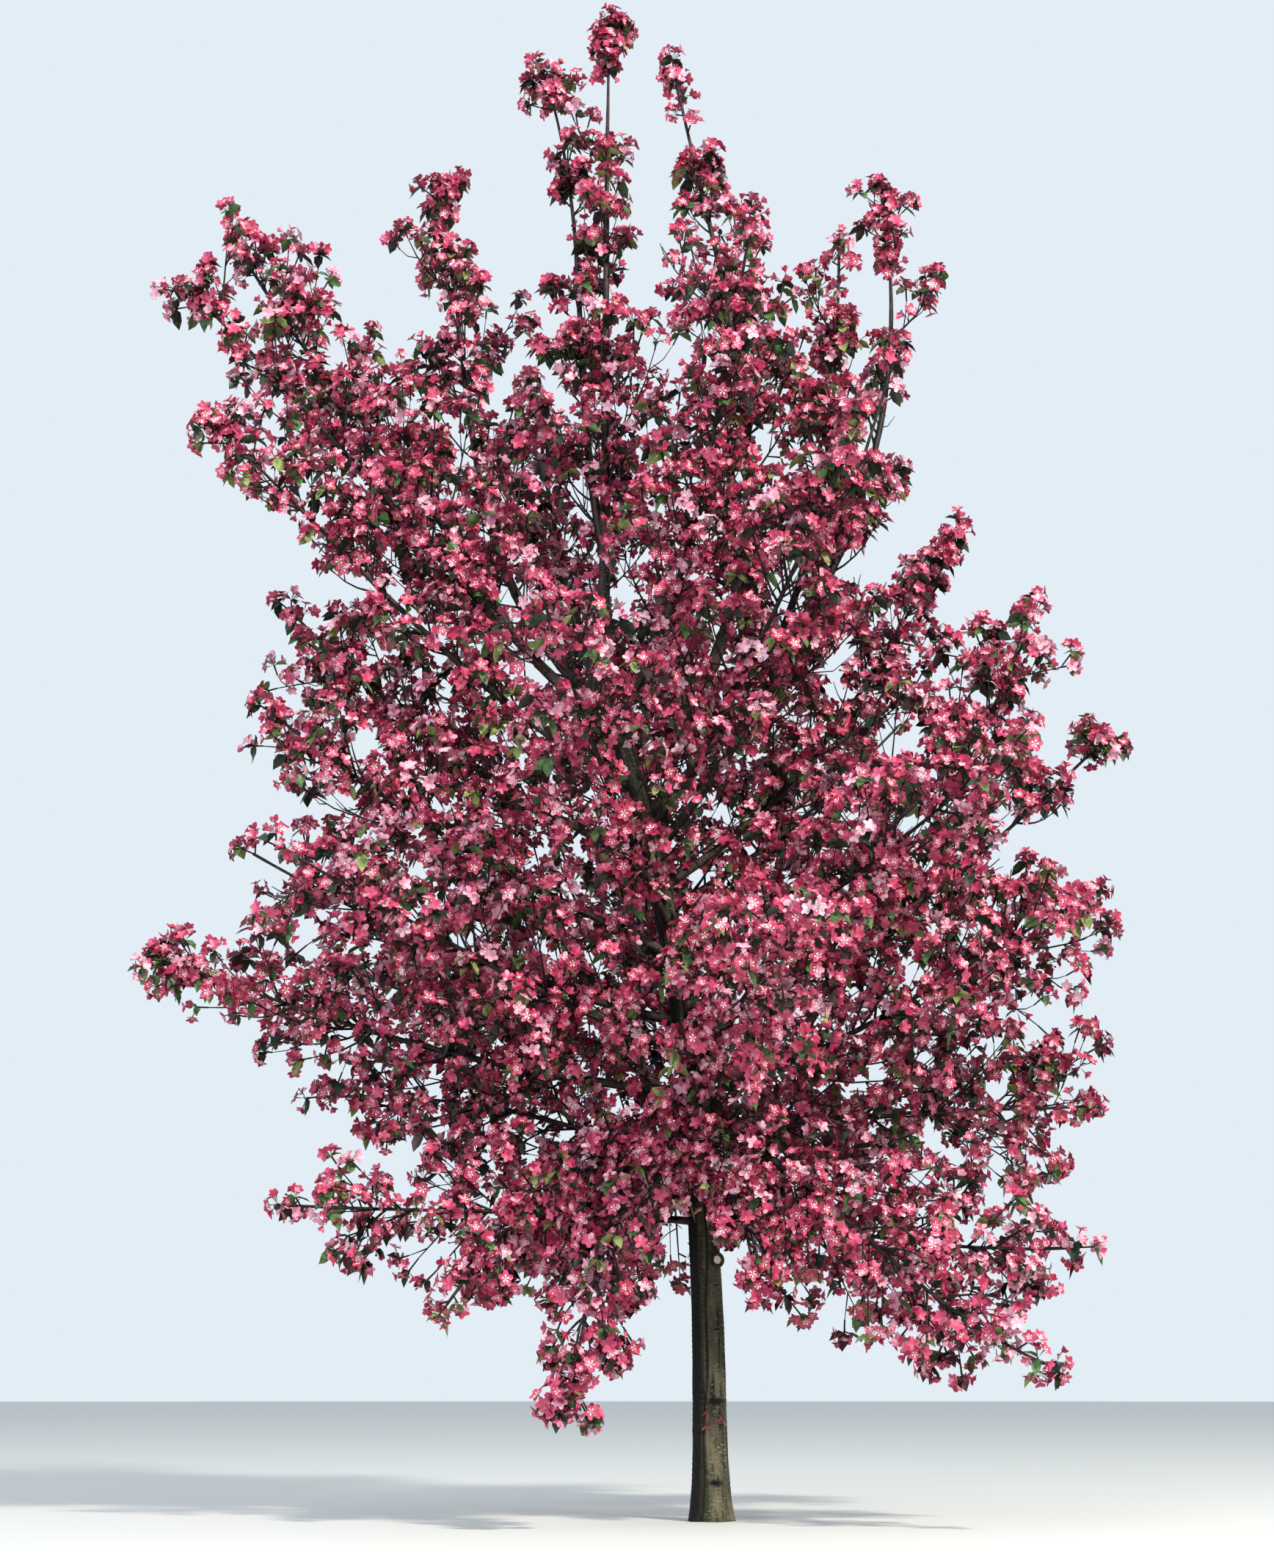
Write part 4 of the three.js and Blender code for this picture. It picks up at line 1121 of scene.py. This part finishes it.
# Pale claws, their colour whitened as painted highlight.
make_piece("petal_feet_and_highlight", *alike(pale_feet_and_highlight, WEDGE_FACES),
           petal_tissue("petal_foot_and_highlight", "#DEB4BE", "#F2DCE0", "#FFFFFF"), "blossom")
stamens = round_flower(showing, STAMEN_ALONG, STAMEN_ACROSS, STAMEN_UP, STAMENS,
                       math.radians(STAMEN_LEAN), STAMEN_JITTER)
make_piece("stamens", *alike(stamens, WEDGE_FACES),
           petal_tissue("stamen_pollen", "#C49A62", "#DCC294", "#FFFFFF"), "blossom")

# Buds: plump closed petals, darker and redder than open ones, drawn as four-sided drops. The stalk ends
# inside, most of the way back from the bud's middle to its foot.
BUD_LENGTH = 0.0115
BUD_SIZES = (0.7, 1.15)
STALK_IN_BUD = 0.4
BUD_ALONG = np.array([-0.5, 0.1, 0.1, 0.1, 0.1, 0.5])
BUD_ROUND = np.array([0.0, 0.36, 0.36, 0.36, 0.36, 0.0])
BUD_TURN = np.array([0.0, 0.0, 0.5, 1.0, 1.5, 0.0]) * np.pi
BUD_FACES = np.array([[0, 2, 1], [0, 3, 2], [0, 4, 3], [0, 1, 4],
                      [5, 1, 2], [5, 2, 3], [5, 3, 4], [5, 4, 1]])
bud_size = (BUD_LENGTH * random.uniform(*BUD_SIZES, len(bud_spur)))[:, None, None]
first, second = square_to(bud_out)
bud_points = bud_centre[:, None] + bud_size * (
    bud_out[:, None] * BUD_ALONG[:, None] + first[:, None] * (BUD_ROUND * np.cos(BUD_TURN))[:, None]
    + second[:, None] * (BUD_ROUND * np.sin(BUD_TURN))[:, None])
make_piece("buds", *alike(bud_points, BUD_FACES),
           petal_tissue("bud_petal", "#6E1434", "#961E46", "#FFC6D6"), "blossom")

# Stalks: thin, hairy and dark red, widening to the cup under each flower or bud. Drawn as long cones.
STALK_FACES = np.array([[0, 2, 1], [0, 3, 2], [0, 1, 3], [1, 2, 3]])


def stalk_cones(owner, ends):
    """Three-sided cones with their point at the spur and their base under the flower."""
    feet = spur_ends[owner]
    first, second = square_to(unit(ends - feet))
    turns = np.arange(3) * 2 * np.pi / 3
    base = ends[:, None] + STALK_RADIUS * (first[:, None] * np.cos(turns)[:, None]
                                          + second[:, None] * np.sin(turns)[:, None])
    return alike(np.concatenate([feet[:, None], base], 1), STALK_FACES)


stalks = join([stalk_cones(flower_spur, flower_centre),
               stalk_cones(bud_spur, bud_centre - bud_out * STALK_IN_BUD * BUD_LENGTH)])
make_piece("flower_stalks", *stalks, petal_tissue("stalk_skin", "#4A1A26", "#6B2A30", "#C08A90"), "blossom")


# Leaves: young, pointed oval blades folded along the midrib, up to three round each spur, two more at
# each tip, all drooping. They open bronze and turn green, so whole sprays differ; the skin is leathery.
LEAVES = (0, 3)
TIP_LEAVES = 2
LEAF_LENGTH = (0.024, 0.050)
LEAF_WIDTH = 0.68
LEAF_LEAN = (math.radians(45), math.radians(105))
LEAF_DROOP = 0.45
LEAF_SAG = 0.22
FIRST_LEAF_TURN = 1.0
LEAF_TURN_JITTER = 0.3
LEAF_ROLL_JITTER = 0.5

# A blade's points: its foot, two on its right edge, its tip, two on its left edge and the middle of its
# midrib. Each lies so far along it, across it and up from it, as shares of its length and width.
LEAF_ALONG = np.array([0.0, 0.26, 0.66, 1.0, 0.66, 0.26, 0.46])
LEAF_ACROSS = np.array([0.0, 0.43, 0.40, 0.0, -0.40, -0.43, 0.0])
LEAF_FOLD = np.array([0.0, 0.16, 0.14, 0.0, 0.14, 0.16, 0.0])
LEAF_FACES = np.array([[0, 1, 6], [1, 2, 6], [2, 3, 6], [3, 4, 6], [4, 5, 6], [5, 0, 6]])

leaf_counts = random.integers(LEAVES[0], LEAVES[1] + 1, len(spur_ends)) + TIP_LEAVES * spur_is_tip
leaf_spur, leaf_place = dealt(leaf_counts)
leaf_ways = spur_ways[leaf_spur]
leaf_lean = random.uniform(*LEAF_LEAN, len(leaf_spur))
leaf_turn = (leaf_place * GOLDEN_TURN + spur_phase[leaf_spur] + FIRST_LEAF_TURN
             + random.normal(0, LEAF_TURN_JITTER, len(leaf_spur)))
leaf_way = unit(leaning(leaf_ways, square_to(leaf_ways)[0], leaf_lean, leaf_turn) - LEAF_DROOP * UP)
leaf_side, leaf_face = square_to(leaf_way)
leaf_face = -leaf_face
leaf_roll = random.normal(0, LEAF_ROLL_JITTER, len(leaf_spur))[:, None]
leaf_side, leaf_face = (leaf_side * np.cos(leaf_roll) + leaf_face * np.sin(leaf_roll),
                        leaf_face * np.cos(leaf_roll) - leaf_side * np.sin(leaf_roll))
leaf_size = random.uniform(*LEAF_LENGTH, len(leaf_spur))[:, None, None]


def leaf_blades(feet, size, way, side, face, width, sag):
    """Folded blades: each point lies along its way, across it and up from it, and sinks by its square."""
    return feet[:, None] + size * (
        way[:, None] * LEAF_ALONG[:, None] + side[:, None] * (width * LEAF_ACROSS)[:, None]
        + face[:, None] * (width * LEAF_FOLD)[:, None] - UP * (sag * LEAF_ALONG**2)[:, None])


leaf_points = leaf_blades(spur_ends[leaf_spur], leaf_size, leaf_way, leaf_side, leaf_face,
                          LEAF_WIDTH, LEAF_SAG)


def leaf_skin(name, shade, colour):
    """Leaf skin: two near tones in patches 14 mm wide, and side veins every 4 mm as fine relief."""
    return living_skin(name, shade, colour, tones=(70.0, 0.38, 0.62), relief=(250.0, 0.4, 0.6, 2.0),
                       height=0.0006, strength=0.4, Roughness=0.42, Specular_IOR_Level=0.35)


# Sprouts: a few first leaves that break from the trunk's seam a quarter of a metre above the ground,
# still all red. Each: its turn in degrees, its height, its length, and how far it points round the
# trunk, out and up. Its foot is sunk in the bark.
SPROUTS = [(-104, 0.283, 0.022, 0.5, 1.0, -0.6), (-98, 0.268, 0.024, -0.4, 1.0, -0.2),
           (-101, 0.256, 0.022, 0.7, 1.0, -0.9), (-97, 0.243, 0.026, 0.1, 1.0, -1.6),
           (-103, 0.232, 0.020, -0.5, 1.0, -0.5), (-76, 0.240, 0.034, 1.6, 0.9, 0.9),
           (-60, 0.256, 0.030, 1.2, 0.6, -1.1)]
SPROUT_WIDTH = 0.34
SPROUT_SINK = 0.002
sprout_turn, sprout_height, sprout_length, round_share, out_share, up_share = np.array(SPROUTS).T
sprout_turn = np.radians(sprout_turn)
sprout_out = np.stack([np.cos(sprout_turn), np.sin(sprout_turn), 0 * sprout_turn], -1)
sprout_round = np.stack([-np.sin(sprout_turn), np.cos(sprout_turn), 0 * sprout_turn], -1)
sprout_relief, _ = trunk_relief(sprout_height, sprout_turn)
bark_radius = trunk_radius(sprout_height, sprout_turn) + sprout_relief - SPROUT_SINK
sprout_way = unit(sprout_round * round_share[:, None] + sprout_out * out_share[:, None]
                  + UP * up_share[:, None])
sprout_side = unit(np.cross(sprout_way, sprout_out))
sprouts = leaf_blades(trunk_axis(sprout_height) + sprout_out * bark_radius[:, None],
                      sprout_length[:, None, None], sprout_way, sprout_side,
                      np.cross(sprout_side, sprout_way), SPROUT_WIDTH, LEAF_SAG)
make_piece("trunk_sprouts", *alike(sprouts, LEAF_FACES), leaf_skin("sprout_leaf", "#5E1A22", "#9A4E54"),
           "leaf")

# Leaf tones, dealt out truss by truss. Each: how often it comes against the others, and its darker and
# its lighter colour.
LEAF_TONES = [
    ("dark_green", 40, "#101B12", "#243521"),
    ("bronze", 21, "#1A0F12", "#341D1E"),
    ("green", 26, "#31492A", "#50703E"),
    ("new_green", 13, "#5E6C3A", "#849257"),
]
leaf_tone = dealt_tones(LEAF_TONES, len(spur_ends))[leaf_spur]
for tone, (tone_name, _, shade, colour) in enumerate(LEAF_TONES):
    make_piece(f"leaves_{tone_name}", *alike(leaf_points[leaf_tone == tone], LEAF_FACES),
               leaf_skin(f"leaf_{tone_name}", shade, colour), "leaf")


# Setting: a plain pale floor in even pale light, a soft lamp high on the right in front, where the
# photograph's light comes from, a broad weak one on the left, and the camera at the photograph's place,
# tilted up at the crown.
FLOOR_RADIUS = 60.0
FLOOR_SIDES = 64
LIGHT_STRENGTH = 1.04
LAMPS_AIM = (0, 0, 2.0)
FAR_CLIP = 200
CAMERA_TILT = 12.58
SENSOR = 36.0
FOCAL_PIXELS = 3684
FRAME_HEIGHT = 2136

floor_turns = np.linspace(0, 2 * np.pi, FLOOR_SIDES, endpoint=False)
floor_points = FLOOR_RADIUS * np.stack([np.cos(floor_turns), np.sin(floor_turns), 0 * floor_turns], -1)
floor_mesh = bpy.data.meshes.new("floor")
floor_mesh.from_pydata(floor_points.tolist(), [], [list(range(FLOOR_SIDES))])
floor = bpy.data.objects.new("floor", floor_mesh)
bpy.context.scene.collection.objects.link(floor)
floor_paint, tree, surface = new_material("floor_paint")
matte = add_node(tree, "ShaderNodeBsdfPrincipled", {"Base Color": linear("#C6C8C5"), "Roughness": 0.9})
tree.links.new(matte.outputs["BSDF"], surface)
floor_mesh.materials.append(floor_paint)

world = bpy.data.worlds.new("studio")
world.use_nodes = True
world.node_tree.nodes["Background"].inputs["Color"].default_value = linear("#DFE9F2")
world.node_tree.nodes["Background"].inputs["Strength"].default_value = LIGHT_STRENGTH
bpy.context.scene.world = world


def soft_lamp(name, place, size, power, colour):
    """A square lamp at a place, facing the middle of the crown."""
    lamp = bpy.data.objects.new(name, bpy.data.lights.new(name, "AREA"))
    lamp.data.shape = "SQUARE"
    lamp.data.size = size
    lamp.data.energy = power
    lamp.data.color = linear(colour)[:3]
    back = unit(np.subtract(place, LAMPS_AIM))
    side = unit(np.cross(UP, back))
    up = np.cross(back, side)
    lamp.matrix_world = Matrix([(*axis, 0) for axis in (side, up, back)] + [(*place, 1)]).transposed()
    bpy.context.scene.collection.objects.link(lamp)


soft_lamp("key_lamp", place=(6.4, -9.0, 9.8), size=1.2, power=2650, colour="#FFF6EA")
soft_lamp("fill_lamp", place=(-4.5, -9.0, 5.0), size=5.0, power=620, colour="#F2F6FF")

camera = bpy.data.objects.new("camera", bpy.data.cameras.new("camera"))
camera.location = CAMERA_PLACE
camera.rotation_euler = (math.radians(90 + CAMERA_TILT), 0, 0)
camera.data.sensor_width = SENSOR
camera.data.lens = SENSOR * FOCAL_PIXELS / FRAME_HEIGHT
camera.data.clip_end = FAR_CLIP
bpy.context.scene.collection.objects.link(camera)
bpy.context.scene.camera = camera
bpy.context.scene.view_settings.view_transform = "Standard"
